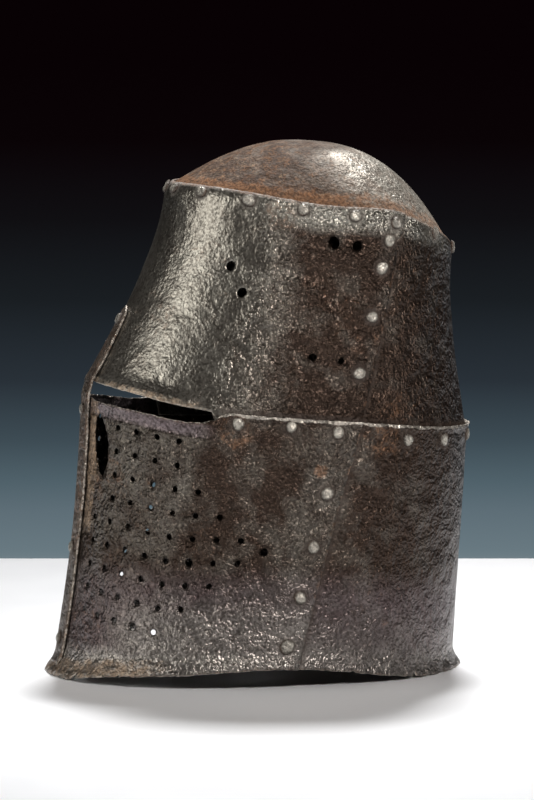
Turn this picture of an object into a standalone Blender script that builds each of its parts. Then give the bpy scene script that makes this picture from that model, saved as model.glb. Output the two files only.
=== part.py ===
"""Great helm of riveted iron plates, standing on its own rim.

The face looks along -Y, the wearer's left is +X and Z points up, in metres. The origin is on the
ground below the middle of the helm. Every plate lies on one wall surface, which is given by an
angle and a level. The angle is 0 at the front ridge and grows in degrees towards the wearer's
left. The level is 0 at the bottom rim, 1 at the waist, 2 at the crown seam and 3 at the top of
the crown. Plates that lap are stacked in layers, one plate and one gap apart.
"""

import math
from collections import namedtuple

import bpy
from mathutils import Matrix
from mathutils import Vector
from mathutils.geometry import delaunay_2d_cdt

MM = 0.001

# Driving sizes
TOP_HEIGHT = 0.360
TOP_FORWARD = 0.012
CENTRE_SHIFT = 0.0081
RIM_ARCH = 0.0135
RIM_REST_REAR = 150.0
WAIST_REAR_HEIGHT = 0.1665
WAIST_FRONT_RISE = 0.0335
CROWN_REAR_HEIGHT = 0.2895
CROWN_FRONT_RISE = 0.045
PLATE = 1.5 * MM
GAP = 0.45 * MM
LAYER = PLATE + GAP

# Ring sizes: reach to the front and rear, where it is widest, and half the width
Ring = namedtuple("Ring", "front rear widest half_width")
RIM_RING = Ring(front=0.1473, rear=0.1282, widest=-0.0163, half_width=0.1089)
WAIST_RING = Ring(front=0.1256, rear=0.1376, widest=0.0370, half_width=0.1074)
CROWN_RING = Ring(front=0.0646, rear=0.1270, widest=0.0480, half_width=0.0890)
LOWER_FRONT_HOLLOW = 0.0044
UPPER_FRONT_HOLLOW = 0.0054
UPPER_REAR_HOLLOW = 0.0035
FRONT_ROUNDNESS = 1.95
SHOULDER_START = 1.6
SHOULDER_BULGE = 7.9 * MM
SHOULDER_REST = 0.4
SHOULDER_STEP = 0.1
WALL_STEP = 0.02
DOME_FRONT_STEEPNESS = 1.7
DOME_REAR_STEEPNESS = 3.0

# Heights of the three rings round one side, as shares of the arch and the rises above
EdgeRow = namedtuple("EdgeRow", "angle rim waist crown")
EDGE_ROWS = [
    EdgeRow(0, 0.00, 1.00, 1.00),
    EdgeRow(15, 0.02, 0.95, 1.00),
    EdgeRow(30, 0.35, 0.83, 0.98),
    EdgeRow(45, 0.55, 0.66, 0.915),
    EdgeRow(60, 0.72, 0.52, 0.82),
    EdgeRow(75, 0.92, 0.43, 0.72),
    EdgeRow(90, 1.00, 0.34, 0.67),
    EdgeRow(105, 0.76, 0.26, 0.595),
    EdgeRow(120, 0.32, 0.17, 0.445),
    EdgeRow(135, 0.04, 0.11, 0.285),
    EdgeRow(150, 0.00, 0.06, 0.135),
    EdgeRow(165, 0.00, 0.02, 0.04),
    EdgeRow(180, 0.00, 0.00, 0.00),
]

# Laps and seams, in degrees and levels
LOWER_SEAM_AT_RIM = 93.4
LOWER_SEAM_AT_WAIST = 90.0
UPPER_SEAM_AT_CROWN = 108.6
SEAM_LAP = 10.8
SEAM_RAMP = 12.0
WAIST_LAP_LEVEL = 0.885
CORNER_RAMP_LEVEL = 0.74
CORNER_FULL_LEVEL = 0.84
CORNER_AHEAD = 2.0
CORNER_BEHIND = 1.0
FLANGE_LEVEL = 1.895

# The rim's outward lip
LIP_LEVEL = 0.08
LIP_SIDE = 1.5 * MM
LIP_ENDS = 5.0 * MM

# The sights, one a side of the bar
SIGHT_FLOOR = 0.945
SIGHT_FLARE = 2.4 * MM
SIGHT_FLARE_DEPTH = 0.045
BROW_FLARE_HEIGHT = 0.08
BROW_LEVEL = 1.0
BROW_DROP = 0.008
BROW_SIGHT_END = 52.5
BROW_TAB = 56.0
FLARE_START = 6.5
FLARE_STOP = 50.0
FLARE_START_RAMP = 4.0
FLARE_STOP_RAMP = 6.0
SIGHT_END = [(57.5, 1.0), (55.5, 0.988), (53.5, 0.968), (50.5, 0.951), (46.0, SIGHT_FLOOR)]

# The front bar
BAR_HALF_WIDTH = 5.3
BAR_TIP_HALF_WIDTH = 3.6
BAR_FOOT = 0.035
BAR_TAPER_LEVEL = 1.05
BAR_SHOULDER = 1.34
BAR_TIP = 1.37
BAR_THICKNESS = 2.0 * MM

# Facets of the wall, with finer strips along the bar and the side seams
ANGLE_STEP = 9
LOWER_LEVELS = [0.0, BAR_FOOT, LIP_LEVEL, 0.4, 0.7, WAIST_LAP_LEVEL, 1.0]
UPPER_LEVELS = [1.0, 1.2, 1.55, FLANGE_LEVEL, 2.0]
DOME_LEVELS = [2.0, 2.2, 2.55, 3.0]
WALL_LEVELS = LOWER_LEVELS + UPPER_LEVELS[1:]
BAR_STRIP = 10
SEAM_STRIP_START = 71
SEAM_STRIP_END = 96
SHEET_SCALE = (1.9, 170.0)

# Rivets, with eight-sided heads on square shanks
HEAD_SIDES = 8
SHANK_SIDES = 4
HOLE_SIDES = 6
HEAD_RADIUS = 4.4 * MM
HEAD_HEIGHT = 2.5 * MM
CREST_RADIUS = 2.7 * MM
CREST_HEIGHT = 2.0 * MM
SHANK_CORNER = 2.1 * MM
TAIL_RADIUS = 3.0 * MM
TAIL_HEIGHT = 1.0 * MM
RIVET_CLEARANCE = 0.35 * MM
RIVET_HOLE_CORNER = SHANK_CORNER + 0.55 * MM

# Breaths: columns behind the bar and rows below the sight
BREATH_SIDES = 5
BREATH_RADIUS = 2.0 * MM
WORN_BREATH_RADIUS = 2.7 * MM
BREATH_FIRST_ARC = 26.5 * MM
BREATH_PITCH = 16.4 * MM
BREATH_TOP_LEVEL = 0.868
BREATH_ROW_STEP = 0.0785
BREATH_ROW_SPREAD = 0.0023
BREATH_SPREAD_COLUMNS = 4
BreathColumn = namedtuple("BreathColumn", "first last")
BREATH_COLUMNS = [
    BreathColumn(1, 9),
    BreathColumn(1, 9),
    BreathColumn(1, 9),
    BreathColumn(1, 9),
    BreathColumn(1, 9),
    BreathColumn(3, 8),
    BreathColumn(4, 7),
    BreathColumn(5, 6),
    BreathColumn(5.5, 5.5),
]
WORN_BREATHS = {(3, 9), (5, 6), (8, 5.5)}
LOST_BREATHS = {(0, 2), (0, 3), (0, 4)}

# Lacing holes in the brow plate, the same on both sides
LacingHole = namedtuple("LacingHole", "angle level radius")
LACING_HOLES = [
    LacingHole(45.0, 1.648, 3.3 * MM),
    LacingHole(51.2, 1.540, 3.3 * MM),
    LacingHole(78.5, 1.823, 4.0 * MM),
    LacingHole(86.1, 1.814, 3.3 * MM),
    LacingHole(75.8, 1.286, 2.6 * MM),
    LacingHole(83.6, 1.276, 2.2 * MM),
]

# Outlines of the two places rusted through beside the bar, as angles and levels
LEFT_RUST_SLOT = [
    (8.8, 0.830), (10.2, 0.757), (13.0, 0.706), (16.2, 0.690), (18.0, 0.734),
    (18.3, 0.803), (15.8, 0.867), (12.4, 0.905), (9.6, 0.885),
]
RIGHT_RUST_SLOT = [
    (-7.4, 0.76), (-7.6, 0.86), (-9.6, 0.90), (-11.8, 0.84), (-11.0, 0.77), (-9.0, 0.72),
]

# Nicks in the rim
Nick = namedtuple("Nick", "angle half_width depth")
FACE_NICKS = [
    Nick(-61.0, 1.2, 0.014),
    Nick(-24.0, 0.9, 0.010),
    Nick(19.0, 1.1, 0.016),
    Nick(38.0, 0.8, 0.008),
]
BACK_NICKS = [
    Nick(109.0, 0.7, 0.012),
    Nick(131.0, 0.6, 0.022),
    Nick(163.0, 0.9, 0.014),
    Nick(222.0, 0.8, 0.012),
]

# Rivets of one side, with the plates that each holds together
Rivet = namedtuple("Rivet", "name angle level plates")
RivetPlace = namedtuple("RivetPlace", "angle level plates")
CROWN_RIVETS = [
    RivetPlace(7.1, 1.966, ("brow_plate", "crown_cap")),
    RivetPlace(26.3, 1.965, ("brow_plate", "crown_cap")),
    RivetPlace(47.9, 1.960, ("brow_plate", "crown_cap")),
    RivetPlace(67.3, 1.961, ("brow_plate", "crown_cap")),
    RivetPlace(85.0, 1.955, ("brow_plate", "crown_cap")),
    RivetPlace(102.7, 1.940, ("brow_plate", "upper_back_plate", "crown_cap")),
    RivetPlace(130.2, 1.966, ("upper_back_plate", "crown_cap")),
    RivetPlace(160.0, 1.960, ("upper_back_plate", "crown_cap")),
]
UPPER_SEAM_RIVETS = [
    RivetPlace(99.6, 1.854, ("brow_plate", "upper_back_plate")),
    RivetPlace(96.5, 1.721, ("brow_plate", "upper_back_plate")),
    RivetPlace(92.5, 1.489, ("brow_plate", "upper_back_plate")),
    RivetPlace(88.7, 1.223, ("brow_plate", "upper_back_plate")),
]
WAIST_RIVETS = [
    RivetPlace(60.2, 0.962, ("face_plate", "brow_plate")),
    RivetPlace(73.3, 0.966, ("face_plate", "brow_plate")),
    RivetPlace(84.6, 0.955, ("face_plate", "lower_back_plate", "brow_plate", "upper_back_plate")),
    RivetPlace(110.8, 0.940, ("lower_back_plate", "upper_back_plate")),
    RivetPlace(130.5, 0.945, ("lower_back_plate", "upper_back_plate")),
    RivetPlace(157.6, 0.955, ("lower_back_plate", "upper_back_plate")),
]
LOWER_SEAM_RIVETS = [
    RivetPlace(86.4, 0.710, ("face_plate", "lower_back_plate")),
    RivetPlace(87.0, 0.495, ("face_plate", "lower_back_plate")),
    RivetPlace(87.6, 0.292, ("face_plate", "lower_back_plate")),
    RivetPlace(88.2, 0.095, ("face_plate", "lower_back_plate")),
]
BAR_RIVETS = [
    RivetPlace(0.0, 0.12, ("front_bar", "face_plate")),
    RivetPlace(0.0, 0.43, ("front_bar", "face_plate")),
    RivetPlace(0.0, 0.90, ("front_bar", "face_plate")),
    RivetPlace(0.0, 1.30, ("front_bar", "brow_plate")),
]
SIDE_RIVETS = [
    ("crown_rivet", CROWN_RIVETS),
    ("upper_seam_rivet", UPPER_SEAM_RIVETS),
    ("waist_rivet", WAIST_RIVETS),
    ("lower_seam_rivet", LOWER_SEAM_RIVETS),
]

# Iron colours: red, green, blue and roughness
MATERIALS = {
    "crown_cap": (0.115, 0.085, 0.062, 0.46),
    "brow_plate": (0.105, 0.098, 0.088, 0.42),
    "upper_back_plate": (0.060, 0.046, 0.038, 0.45),
    "face_plate": (0.085, 0.070, 0.060, 0.44),
    "lower_back_plate": (0.062, 0.047, 0.040, 0.46),
    "front_bar": (0.120, 0.082, 0.055, 0.50),
    "rivet": (0.150, 0.130, 0.105, 0.38),
}


def clear_scene():
    """Remove every object."""
    for item in list(bpy.data.objects):
        bpy.data.objects.remove(item)


def mix(first, second, share):
    """Blend two values."""
    return first * (1.0 - share) + second * share


def ease(value):
    """Ramp smoothly from 0 to 1 while value runs from 0 to 1."""
    value = min(max(value, 0.0), 1.0)
    return value * value * (3.0 - 2.0 * value)


def folded(angle):
    """Angle from the front ridge, 0 to 180, on either side."""
    return abs((angle + 180.0) % 360.0 - 180.0)


def edge_share(angle, column):
    """Look up a column of the edge table, smoothly between its rows."""
    turn = folded(angle)
    step = EDGE_ROWS[1].angle
    place = min(int(turn // step), len(EDGE_ROWS) - 2)
    share = turn / step - place
    last = len(EDGE_ROWS) - 1
    before = getattr(EDGE_ROWS[abs(place - 1)], column)
    start = getattr(EDGE_ROWS[place], column)
    end = getattr(EDGE_ROWS[place + 1], column)
    after = getattr(EDGE_ROWS[last - abs(last - place - 2)], column)
    leave = (end - before) / 2.0
    arrive = (after - start) / 2.0
    bend = 3.0 * (end - start) - 2.0 * leave - arrive
    twist = 2.0 * (start - end) + leave + arrive
    return start + share * (leave + share * (bend + share * twist))


def ring_height(angle, level):
    """Height of the wall surface."""
    rim = RIM_ARCH * max(edge_share(angle, "rim"), 0.0)
    if folded(angle) <= ANGLE_STEP or folded(angle) >= RIM_REST_REAR:
        rim = 0.0
    waist = WAIST_REAR_HEIGHT + WAIST_FRONT_RISE * edge_share(angle, "waist")
    crown = CROWN_REAR_HEIGHT + CROWN_FRONT_RISE * edge_share(angle, "crown")
    if level <= 1.0:
        return mix(rim, waist, level)
    return mix(waist, crown, level - 1.0)


def ring_size(level):
    """Ring at a level, with the hollow curve of the front and rear and the shoulder below the crown."""
    if level <= 1.0:
        lower, upper, share = RIM_RING, WAIST_RING, level
        front_hollow, rear_hollow = LOWER_FRONT_HOLLOW, 0.0
    else:
        lower, upper, share = WAIST_RING, CROWN_RING, level - 1.0
        front_hollow, rear_hollow = UPPER_FRONT_HOLLOW, UPPER_REAR_HOLLOW
    sizes = [mix(low, high, share) for low, high in zip(lower, upper)]
    depth = 4.0 * share * (1.0 - share)
    climb = max((level - SHOULDER_START) / (2.0 - SHOULDER_START), 0.0)
    shoulder = SHOULDER_BULGE * climb**3 * (1.0 - climb**10)
    front, rear, widest, half_width = sizes
    front += shoulder - front_hollow * depth
    rear += shoulder * SHOULDER_REST - rear_hollow * depth
    return Ring(front, rear, widest, half_width + shoulder * SHOULDER_REST)


def smooth_wall(angle, level):
    """Point on the wall surface."""
    ring = ring_size(level)
    turn = math.radians(angle)
    across = math.sin(turn)
    if math.cos(turn) >= 0.0:
        reach = -ring.front - ring.widest
        roundness = FRONT_ROUNDNESS
    else:
        reach = ring.rear - ring.widest
        roundness = 2.0
    bulge = math.sqrt(max(1.0 - abs(across) ** roundness, 0.0))
    forward = ring.widest + reach * bulge + CENTRE_SHIFT
    return Vector((ring.half_width * across, forward, ring_height(angle, level)))


def smooth_normal(angle, level):
    """Outward direction of the wall surface, level at the rim and even along the shoulder."""
    step = SHOULDER_STEP if level > SHOULDER_START else WALL_STEP
    low = max(level - step, 0.0)
    high = min(level + step, 2.0)
    along = smooth_wall(angle + 1.0, level) - smooth_wall(angle - 1.0, level)
    up = smooth_wall(angle, high) - smooth_wall(angle, low)
    normal = along.cross(up)
    if level == 0.0:
        normal.z = 0.0
    return normal.normalized()


def build_lattice():
    """Wall points and directions at the corners of every facet."""
    lattice = {}
    for column in range(0, 360, ANGLE_STEP):
        for level in WALL_LEVELS:
            lattice[column, level] = (smooth_wall(column, level), smooth_normal(column, level))
    return lattice


LATTICE = build_lattice()


def wall(angle, level, offset):
    """Point on the faceted wall, moved outwards by the offset."""
    column = int(angle // ANGLE_STEP) * ANGLE_STEP
    share = (angle - column) / ANGLE_STEP
    row = 0
    while row < len(WALL_LEVELS) - 2 and level > WALL_LEVELS[row + 1]:
        row += 1
    low, high = WALL_LEVELS[row], WALL_LEVELS[row + 1]
    rise = (level - low) / (high - low)
    point, normal = Vector(), Vector()
    for turn, weight in ((column, 1.0 - share), (column + ANGLE_STEP, share)):
        for end, lift in ((low, 1.0 - rise), (high, rise)):
            corner, direction = LATTICE[turn % 360, end]
            point += corner * (weight * lift)
            normal += direction * (weight * lift)
    return point + normal * offset


def lower_seam(level):
    """Angle of the face plate's rear edge."""
    return mix(LOWER_SEAM_AT_RIM, LOWER_SEAM_AT_WAIST, level)


def upper_seam(level):
    """Angle of the brow plate's rear edge."""
    return mix(LOWER_SEAM_AT_WAIST, UPPER_SEAM_AT_CROWN, level - 1.0)


def corner_step(angle, level):
    """Extra layer where all four plates meet at the waist."""
    turn = folded(angle)
    front = LOWER_SEAM_AT_WAIST - SEAM_LAP - CORNER_AHEAD
    rear = LOWER_SEAM_AT_WAIST + CORNER_BEHIND
    rise = ease((turn - front + SEAM_RAMP) / SEAM_RAMP) * ease((rear + SEAM_RAMP - turn) / SEAM_RAMP)
    height = ease((level - CORNER_RAMP_LEVEL) / (CORNER_FULL_LEVEL - CORNER_RAMP_LEVEL))
    return rise * height


def seam_step(angle, edge):
    """One layer on the lapping strip of a seam, fading towards the front."""
    return ease((folded(angle) - edge + SEAM_LAP + SEAM_RAMP) / SEAM_RAMP)


def layer(plate, angle, level):
    """Layer of a plate, counted outwards from the upper back plate."""
    if plate == "brow_plate":
        return seam_step(angle, upper_seam(level))
    if plate == "face_plate":
        return 1.0 + seam_step(angle, lower_seam(level)) + corner_step(angle, level)
    if plate == "lower_back_plate":
        return 1.0 + corner_step(angle, level)
    if plate == "crown_cap":
        return -1.0
    if plate == "front_bar":
        return mix(2.0, 1.0, ease((level - SIGHT_FLOOR) / (BROW_LEVEL - SIGHT_FLOOR)))
    return 0.0


def flare(plate, angle, level):
    """Outward bend at the rim's lip and at the sights."""
    turn = folded(angle)
    bend = 0.0
    if level < LIP_LEVEL:
        lip = LIP_SIDE + LIP_ENDS * math.cos(math.radians(angle)) ** 2
        bend += lip * (1.0 - level / LIP_LEVEL) ** 2
    beside_bar = ease((turn - FLARE_START) / FLARE_START_RAMP) * ease((FLARE_STOP - turn) / FLARE_STOP_RAMP)
    if plate == "face_plate":
        height = (level - SIGHT_FLOOR + SIGHT_FLARE_DEPTH) / SIGHT_FLARE_DEPTH
        bend += SIGHT_FLARE * beside_bar * ease(height)
    if plate == "brow_plate":
        height = (BROW_LEVEL + BROW_FLARE_HEIGHT - level) / BROW_FLARE_HEIGHT
        bend += SIGHT_FLARE * beside_bar * ease(height)
    return bend


def outer_offset(plate, angle, level):
    """How far a plate's outer face lies from the wall surface."""
    return (layer(plate, angle, level) - 0.5) * LAYER + flare(plate, angle, level)


def plate_point(plate, angle, level, depth):
    """Point of a plate, the depth measured inwards from its outer face."""
    point = wall(angle, level, outer_offset(plate, angle, level) - depth)
    if level == 0.0 and ring_height(angle, 0.0) == 0.0:
        point.z = 0.0
    return point


def dome_point(angle, level, depth):
    """Point of the crown's dome, or of the flange below it."""
    if level <= 2.0:
        return plate_point("crown_cap", angle, level, depth)
    edge = plate_point("crown_cap", angle, 2.0, depth)
    reach = 3.0 - level
    frontness = ((1.0 + math.cos(math.radians(angle))) / 2.0) ** 2
    steepness = mix(DOME_REAR_STEEPNESS, DOME_FRONT_STEEPNESS, frontness)
    top = Vector((0.0, TOP_FORWARD + CENTRE_SHIFT, TOP_HEIGHT - depth))
    point = top.lerp(edge, reach)
    point.z = top.z - (top.z - edge.z) * reach ** steepness
    return point


def sheet_tangents(angle, level):
    """Wall steps for one degree and for one level."""
    across = (wall(angle + 2.0, level, 0.0) - wall(angle - 2.0, level, 0.0)) / 4.0
    up = (wall(angle, level + 0.03, 0.0) - wall(angle, level - 0.03, 0.0)) / 0.06
    return across, up


def round_hole(angle, level, radius, sides):
    """Loop of angles and levels that is a round hole on the wall."""
    across, up = sheet_tangents(angle, level)
    side = across.normalized()
    normal = across.cross(up).normalized()
    rise = normal.cross(side)
    loop = []
    for index in range(sides):
        turn = 2.0 * math.pi * (index + 0.5) / sides
        level_step = radius * math.sin(turn) / up.dot(rise)
        angle_step = (radius * math.cos(turn) - up.dot(side) * level_step) / across.length
        loop.append((angle + angle_step, level + level_step))
    return loop


def angle_at_arc(arc, level):
    """Angle that lies a given length round the wall from the front ridge."""
    angle, travelled = 0.0, 0.0
    point = smooth_wall(0.0, level)
    while travelled < arc:
        angle += 0.25
        ahead = smooth_wall(angle, level)
        travelled += (ahead - point).xy.length
        point = ahead
    return angle


def breath_loops():
    """Loops of the breaths on both sides, leaving out those lost to the left rust slot."""
    loops = []
    for side in (1, -1):
        for column, rows in enumerate(BREATH_COLUMNS):
            spread = BREATH_ROW_SPREAD * min(column, BREATH_SPREAD_COLUMNS)
            row = rows.first
            while row <= rows.last:
                worn = side > 0 and (column, row) in WORN_BREATHS
                lost = side > 0 and (column, row) in LOST_BREATHS
                level = BREATH_TOP_LEVEL - (row - 1) * (BREATH_ROW_STEP + spread)
                angle = side * angle_at_arc(BREATH_FIRST_ARC + column * BREATH_PITCH, level)
                if not lost:
                    radius = WORN_BREATH_RADIUS if worn else BREATH_RADIUS
                    loops.append(round_hole(angle, level, radius, BREATH_SIDES))
                row += 1
    return loops


def inside(loop, x, y):
    """Whether a point lies inside a closed loop."""
    hit = False
    for (x1, y1), (x2, y2) in zip(loop, loop[1:] + loop[:1]):
        if (y1 > y) != (y2 > y) and x < x1 + (y - y1) * (x2 - x1) / (y2 - y1):
            hit = not hit
    return hit


def sheet_triangles(outline, holes, creases):
    """Cut a flat sheet of angles and levels into triangles along the creases."""
    scale_x, scale_y = SHEET_SCALE
    loops = [[(x * scale_x, y * scale_y) for x, y in loop] for loop in [outline] + holes]
    points, edges = [], []
    for loop in loops:
        first = len(points)
        points += [Vector(point) for point in loop]
        count = len(loop)
        edges += [(first + index, first + (index + 1) % count) for index in range(count)]
    for start, end in creases:
        edges.append((len(points), len(points) + 1))
        points.append(Vector((start[0] * scale_x, start[1] * scale_y)))
        points.append(Vector((end[0] * scale_x, end[1] * scale_y)))
    corners, _, faces = delaunay_2d_cdt(points, edges, [], 0, 0.0001)[:3]
    kept = []
    for face in faces:
        x = sum(corners[index].x for index in face) / 3.0
        y = sum(corners[index].y for index in face) / 3.0
        if inside(loops[0], x, y) and not any(inside(loop, x, y) for loop in loops[1:]):
            kept.append(tuple(face))
    return [(corner.x / scale_x, corner.y / scale_y) for corner in corners], kept


def solid_sheet(corners, triangles, place):
    """Turn a flat sheet into a solid plate: outer face, inner face and edges."""
    vertices, slots, index_of = [], {}, {}
    for face in triangles:
        for index in face:
            outer = place(corners[index], 0.0)
            key = tuple(round(value * 1e7) for value in outer)
            if key not in slots:
                slots[key] = len(vertices)
                vertices.append(outer)
            index_of[index] = slots[key]
    inner_of = {}
    for index, slot in index_of.items():
        if slot not in inner_of:
            inner_of[slot] = len(vertices)
            vertices.append(place(corners[index], PLATE))
    faces, border = [], {}
    for face in triangles:
        a, b, c = (index_of[index] for index in face)
        if len({a, b, c}) < 3:
            continue
        faces.append((a, b, c))
        faces.append((inner_of[c], inner_of[b], inner_of[a]))
        for start, end in ((a, b), (b, c), (c, a)):
            if (end, start) in border:
                del border[end, start]
            else:
                border[start, end] = True
    for start, end in border:
        faces.append((end, start, inner_of[start]))
        faces.append((end, inner_of[start], inner_of[end]))
    return vertices, faces


def make_material(name):
    """Principled iron in the piece's own colour."""
    red, green, blue, roughness = MATERIALS[name]
    material = bpy.data.materials.new(name + "_iron")
    material.use_nodes = True
    shader = material.node_tree.nodes["Principled BSDF"]
    shader.inputs["Base Color"].default_value = (red, green, blue, 1.0)
    shader.inputs["Metallic"].default_value = 0.85
    shader.inputs["Roughness"].default_value = roughness
    return material


def add_object(name, vertices, faces, material):
    """Make an object from its points and faces."""
    mesh = bpy.data.meshes.new(name)
    mesh.from_pydata(vertices, [], faces)
    mesh.validate()
    mesh.materials.append(material)
    item = bpy.data.objects.new(name, mesh)
    bpy.context.scene.collection.objects.link(item)
    return item


def column_creases(first, last, low, high):
    """Upright creases at the facet columns between two angles."""
    start = math.ceil(first / ANGLE_STEP) * ANGLE_STEP
    return [((turn, low), (turn, high)) for turn in range(start, int(last) + 1, ANGLE_STEP)]


def row_creases(levels, first, last):
    """Level creases between two angles."""
    return [((first, level), (last, level)) for level in levels]


def bar_side_creases(low, high):
    """Upright creases just outside the bar, where the sights' flares begin."""
    return [((side * FLARE_START, low), (side * FLARE_START, high)) for side in (1, -1)]


def rim_edge(first, last, nicks):
    """Bottom edge from one angle to the other, with its nicks."""
    edge = [(first, 0.0)]
    for nick in nicks:
        edge.append((nick.angle - nick.half_width, 0.0))
        edge.append((nick.angle, nick.depth))
        edge.append((nick.angle + nick.half_width, 0.0))
    edge.append((last, 0.0))
    return edge


def rivet_holes(plate, rivets, behind=False):
    """Loops of a plate's rivet holes, with angles from 0 to 360 for a plate behind the head."""
    passing = [rivet for rivet in rivets if plate in rivet.plates]
    angles = [rivet.angle % 360.0 if behind else rivet.angle for rivet in passing]
    loops = []
    for angle, rivet in zip(angles, passing):
        loops.append(round_hole(angle, rivet.level, RIVET_HOLE_CORNER, SHANK_SIDES))
    return loops


def make_plate(name, outline, holes, creases):
    """One plate with its holes, bent along the creases."""
    corners, triangles = sheet_triangles(outline, holes, creases)

    def place(corner, depth):
        return plate_point(name, corner[0], corner[1], depth)

    vertices, faces = solid_sheet(corners, triangles, place)
    return add_object(name, vertices, faces, make_material(name))


def make_face_plate(rivets):
    """Lower front plate with the sights' lower edges, breaths and rust slots."""
    rim = lower_seam(0.0)
    waist = lower_seam(1.0)
    left_top = [(waist, 1.0)] + SIGHT_END
    right_top = [(-angle, level) for angle, level in reversed(left_top)]
    outline = rim_edge(-rim, rim, FACE_NICKS) + left_top + right_top
    holes = rivet_holes("face_plate", rivets) + breath_loops() + [LEFT_RUST_SLOT, RIGHT_RUST_SLOT]
    creases = []
    left_strip = (SEAM_STRIP_START, SEAM_STRIP_END)
    right_strip = (-SEAM_STRIP_END, -SEAM_STRIP_START)
    for first, last in (right_strip, (-BAR_STRIP, BAR_STRIP), left_strip):
        creases += column_creases(first, last, -0.1, 1.1)
        creases += row_creases(LOWER_LEVELS[3:5], first, last)
    for low, high in ((WAIST_LAP_LEVEL, 1.1), (-0.1, LIP_LEVEL)):
        creases += column_creases(-SEAM_STRIP_START, SEAM_STRIP_START, low, high)
    creases += bar_side_creases(WAIST_LAP_LEVEL, 1.1)
    creases += row_creases(LOWER_LEVELS[1:3] + [WAIST_LAP_LEVEL], -SEAM_STRIP_END, SEAM_STRIP_END)
    return make_plate("face_plate", outline, holes, creases)


def make_lower_back_plate(rivets):
    """Lower rear plate."""
    rim = lower_seam(0.0) - SEAM_LAP
    waist = lower_seam(1.0) - SEAM_LAP
    outline = rim_edge(rim, 360.0 - rim, BACK_NICKS) + [(360.0 - waist, 1.0), (waist, 1.0)]
    creases = column_creases(70, 290, -0.1, 1.1) + row_creases(LOWER_LEVELS[1:-1], 70, 290)
    return make_plate("lower_back_plate", outline, rivet_holes("lower_back_plate", rivets, True), creases)


def make_brow_plate(rivets):
    """Upper front plate with the sights' upper edges and the lacing holes."""
    foot = upper_seam(WAIST_LAP_LEVEL)
    crown = upper_seam(2.0)
    tab = WAIST_LAP_LEVEL
    brow_end = BROW_LEVEL - BROW_DROP
    left = [(0.0, BROW_LEVEL), (30.0, BROW_LEVEL - BROW_DROP / 3.0), (BROW_SIGHT_END, brow_end)]
    left += [(BROW_TAB, tab), (foot, tab), (crown, 2.0)]
    right = [(-angle, level) for angle, level in reversed(left[1:])]
    holes = rivet_holes("brow_plate", rivets)
    for hole in LACING_HOLES:
        for side in (1, -1):
            holes.append(round_hole(side * hole.angle, hole.level, hole.radius, HOLE_SIDES))
    creases = column_creases(-110, 110, 0.8, 2.1)
    creases += row_creases(UPPER_LEVELS[:-1] + [BROW_LEVEL + BROW_FLARE_HEIGHT], -112, 112)
    creases += bar_side_creases(0.9, UPPER_LEVELS[1])
    return make_plate("brow_plate", left + right, holes, creases)


def make_upper_back_plate(rivets):
    """Upper rear plate."""
    foot = upper_seam(WAIST_LAP_LEVEL) - SEAM_LAP
    crown = upper_seam(2.0) - SEAM_LAP
    outline = [(foot, WAIST_LAP_LEVEL), (360.0 - foot, WAIST_LAP_LEVEL), (360.0 - crown, 2.0), (crown, 2.0)]
    creases = column_creases(72, 288, 0.8, 2.1) + row_creases(UPPER_LEVELS[:-1], 70, 290)
    return make_plate("upper_back_plate", outline, rivet_holes("upper_back_plate", rivets, True), creases)


def make_crown_cap(rivets):
    """Domed top plate with its rim turned down inside the upper plates."""
    outline = [(0.0, FLANGE_LEVEL), (360.0, FLANGE_LEVEL), (360.0, 3.0), (0.0, 3.0)]
    creases = column_creases(0, 360, 1.8, 3.1) + row_creases(DOME_LEVELS[:-1], -1, 361)
    corners, triangles = sheet_triangles(outline, rivet_holes("crown_cap", rivets, True), creases)

    def place(corner, depth):
        return dome_point(corner[0], corner[1], depth)

    vertices, faces = solid_sheet(corners, triangles, place)
    return add_object("crown_cap", vertices, faces, make_material("crown_cap"))


def bar_half_width(level):
    """Half the bar's width in degrees, narrower at its tip."""
    taper = ease((level - BAR_TAPER_LEVEL) / (BAR_TIP - BAR_TAPER_LEVEL))
    return mix(BAR_HALF_WIDTH, BAR_TIP_HALF_WIDTH, taper)


def make_front_bar(rivets):
    """Upright strap over the front ridge, tying the face plate to the brow plate."""
    levels = LOWER_LEVELS[1:-1] + [SIGHT_FLOOR, BROW_LEVEL, UPPER_LEVELS[1], BAR_SHOULDER]
    left = [(bar_half_width(level), level) for level in levels]
    tip = [(0.0, BAR_TIP)]
    right = [(-half, level) for half, level in reversed(left)]
    creases = [((0.0, -0.1), (0.0, 1.6))]
    creases += row_creases(levels[1:-1], -FLARE_START, FLARE_START)
    corners, triangles = sheet_triangles(left + tip + right, rivet_holes("front_bar", rivets), creases)

    def place(corner, depth):
        raised = (BAR_THICKNESS - PLATE) * (1.0 - depth / PLATE)
        return plate_point("front_bar", corner[0], corner[1], depth - raised)

    vertices, faces = solid_sheet(corners, triangles, place)
    return add_object("front_bar", vertices, faces, make_material("front_bar"))


def rivet_rows():
    """Every rivet with its place and the plates that it holds together."""
    rivets = []
    for side, word in ((1, "left"), (-1, "right")):
        for kind, places in SIDE_RIVETS:
            for number, place in enumerate(places, 1):
                rivets.append(Rivet(f"{kind}_{word}_{number}", side * place.angle, place.level, place.plates))
    for number, place in enumerate(BAR_RIVETS, 1):
        rivets.append(Rivet(f"bar_rivet_{number}", place.angle, place.level, place.plates))
    return rivets


def ring_points(radius, height, sides):
    """Level ring of points, starting half a side on."""
    turns = [2.0 * math.pi * (index + 0.5) / sides for index in range(sides)]
    return [Vector((radius * math.cos(turn), radius * math.sin(turn), height)) for turn in turns]


def ring_band(upper, lower, sides):
    """Faces of the band between two rings of equal sides, the upper one first."""
    faces = []
    for index in range(sides):
        ahead = (index + 1) % sides
        faces.append((upper + index, lower + index, lower + ahead, upper + ahead))
    return faces


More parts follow.
